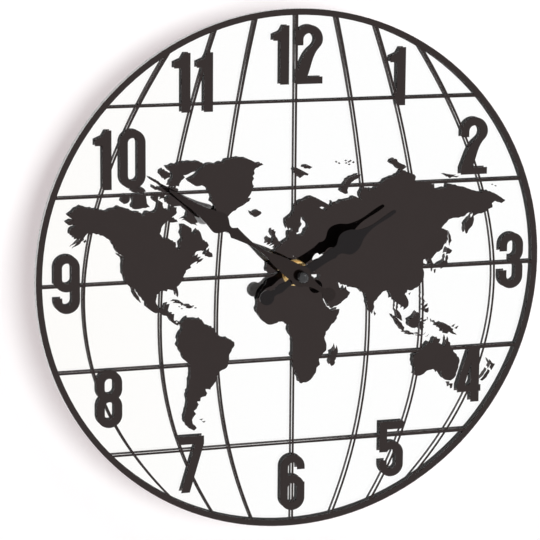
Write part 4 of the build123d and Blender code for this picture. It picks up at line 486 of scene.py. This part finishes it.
# The wall stands just behind the clock's back; it and the floor show neither in the mirror nor through glass
WALL_Y = 0.5 * MM
WALL_SIDE = 3
WALL_TOP = 3
FLOOR_Z = -1.2
FLOOR_SIDE = 6
wall_corners = [
    (-WALL_SIDE, WALL_Y, FLOOR_Z),
    (WALL_SIDE, WALL_Y, FLOOR_Z),
    (WALL_SIDE, WALL_Y, WALL_TOP),
    (-WALL_SIDE, WALL_Y, WALL_TOP),
]
wall = plane("wall", wall_corners, wall_material())
wall.visible_diffuse = False
wall.visible_glossy = False
wall.visible_transmission = False
wall.visible_shadow = False
floor_corners = [
    (-FLOOR_SIDE, -FLOOR_SIDE, FLOOR_Z),
    (FLOOR_SIDE, -FLOOR_SIDE, FLOOR_Z),
    (FLOOR_SIDE, FLOOR_SIDE, FLOOR_Z),
    (-FLOOR_SIDE, FLOOR_SIDE, FLOOR_Z),
]
floor = plane("floor", floor_corners, floor_material())
floor.visible_glossy = False
floor.visible_transmission = False


def lamp(name, direction, strength, angle):
    """Soft far lamp that shines from a direction, its angle in degrees."""
    light = bpy.data.lights.new(name, "SUN")
    light.energy = strength
    light.angle = math.radians(angle)
    made = bpy.data.objects.new(name, light)
    made.rotation_euler = Vector(direction).to_track_quat("Z", "Y").to_euler()
    made.visible_glossy = False
    made.visible_transmission = False
    scene.collection.objects.link(made)


def window(name, place, side, power):
    """Small square lamp that faces the clock and shows as a highlight on polished curves."""
    light = bpy.data.lights.new(name, "AREA")
    light.size = side
    light.energy = power
    made = bpy.data.objects.new(name, light)
    made.location = place
    made.rotation_euler = Vector(place).to_track_quat("Z", "Y").to_euler()
    scene.collection.objects.link(made)


lamp("key", direction=(0.32, -0.95, 0.02), strength=2.65, angle=40)
lamp("rear", direction=(-0.35, 0.8, 0.5), strength=2.2, angle=40)
window("window", place=(1.0, -1.2, 1.6), side=0.5, power=7.0)

# White surroundings for the camera and in mirrors and glass, but only a little light on matt faces
SEEN_LEVEL = 1.0
DIFFUSE_LEVEL = 0.16
world = bpy.data.worlds.new("studio")
scene.world = world
world.use_nodes = True
world_tree = world.node_tree
background = world_tree.nodes["Background"]
background.inputs["Color"].default_value = (*WHITE, 1.0)
rays = world_tree.nodes.new("ShaderNodeLightPath")
seen = rays.outputs["Is Camera Ray"]
for kind in ("Is Glossy Ray", "Is Transmission Ray"):
    either = world_tree.nodes.new("ShaderNodeMath")
    either.operation = "MAXIMUM"
    world_tree.links.new(seen, either.inputs[0])
    world_tree.links.new(rays.outputs[kind], either.inputs[1])
    seen = either.outputs[0]
level = world_tree.nodes.new("ShaderNodeMapRange")
level.inputs["To Min"].default_value = DIFFUSE_LEVEL
level.inputs["To Max"].default_value = SEEN_LEVEL
world_tree.links.new(seen, level.inputs["Value"])
world_tree.links.new(level.outputs["Result"], background.inputs["Strength"])

# Camera of the photograph: its place, its axes and its lens in millimetres
EYE = Vector((-431.14, -1336.37, 278.08)) * MM
AHEAD = Vector((0.29628631, 0.93470761, -0.19630613))
RIGHT = Vector((0.95368705, -0.30070434, 0.00760946))
ABOVE = Vector((0.05191748, 0.1894692, 0.98051313))
FOCAL_LENGTH = 165.1
SENSOR_WIDTH = 36.0
NEAREST, FARTHEST = 0.01, 50.0
lens = bpy.data.cameras.new("camera")
lens.lens = FOCAL_LENGTH
lens.sensor_width = SENSOR_WIDTH
lens.clip_start = NEAREST
lens.clip_end = FARTHEST
camera = bpy.data.objects.new("camera", lens)
axes = Matrix((RIGHT, ABOVE, -AHEAD)).transposed().to_4x4()
camera.matrix_world = Matrix.Translation(EYE) @ axes
scene.collection.objects.link(camera)
scene.camera = camera
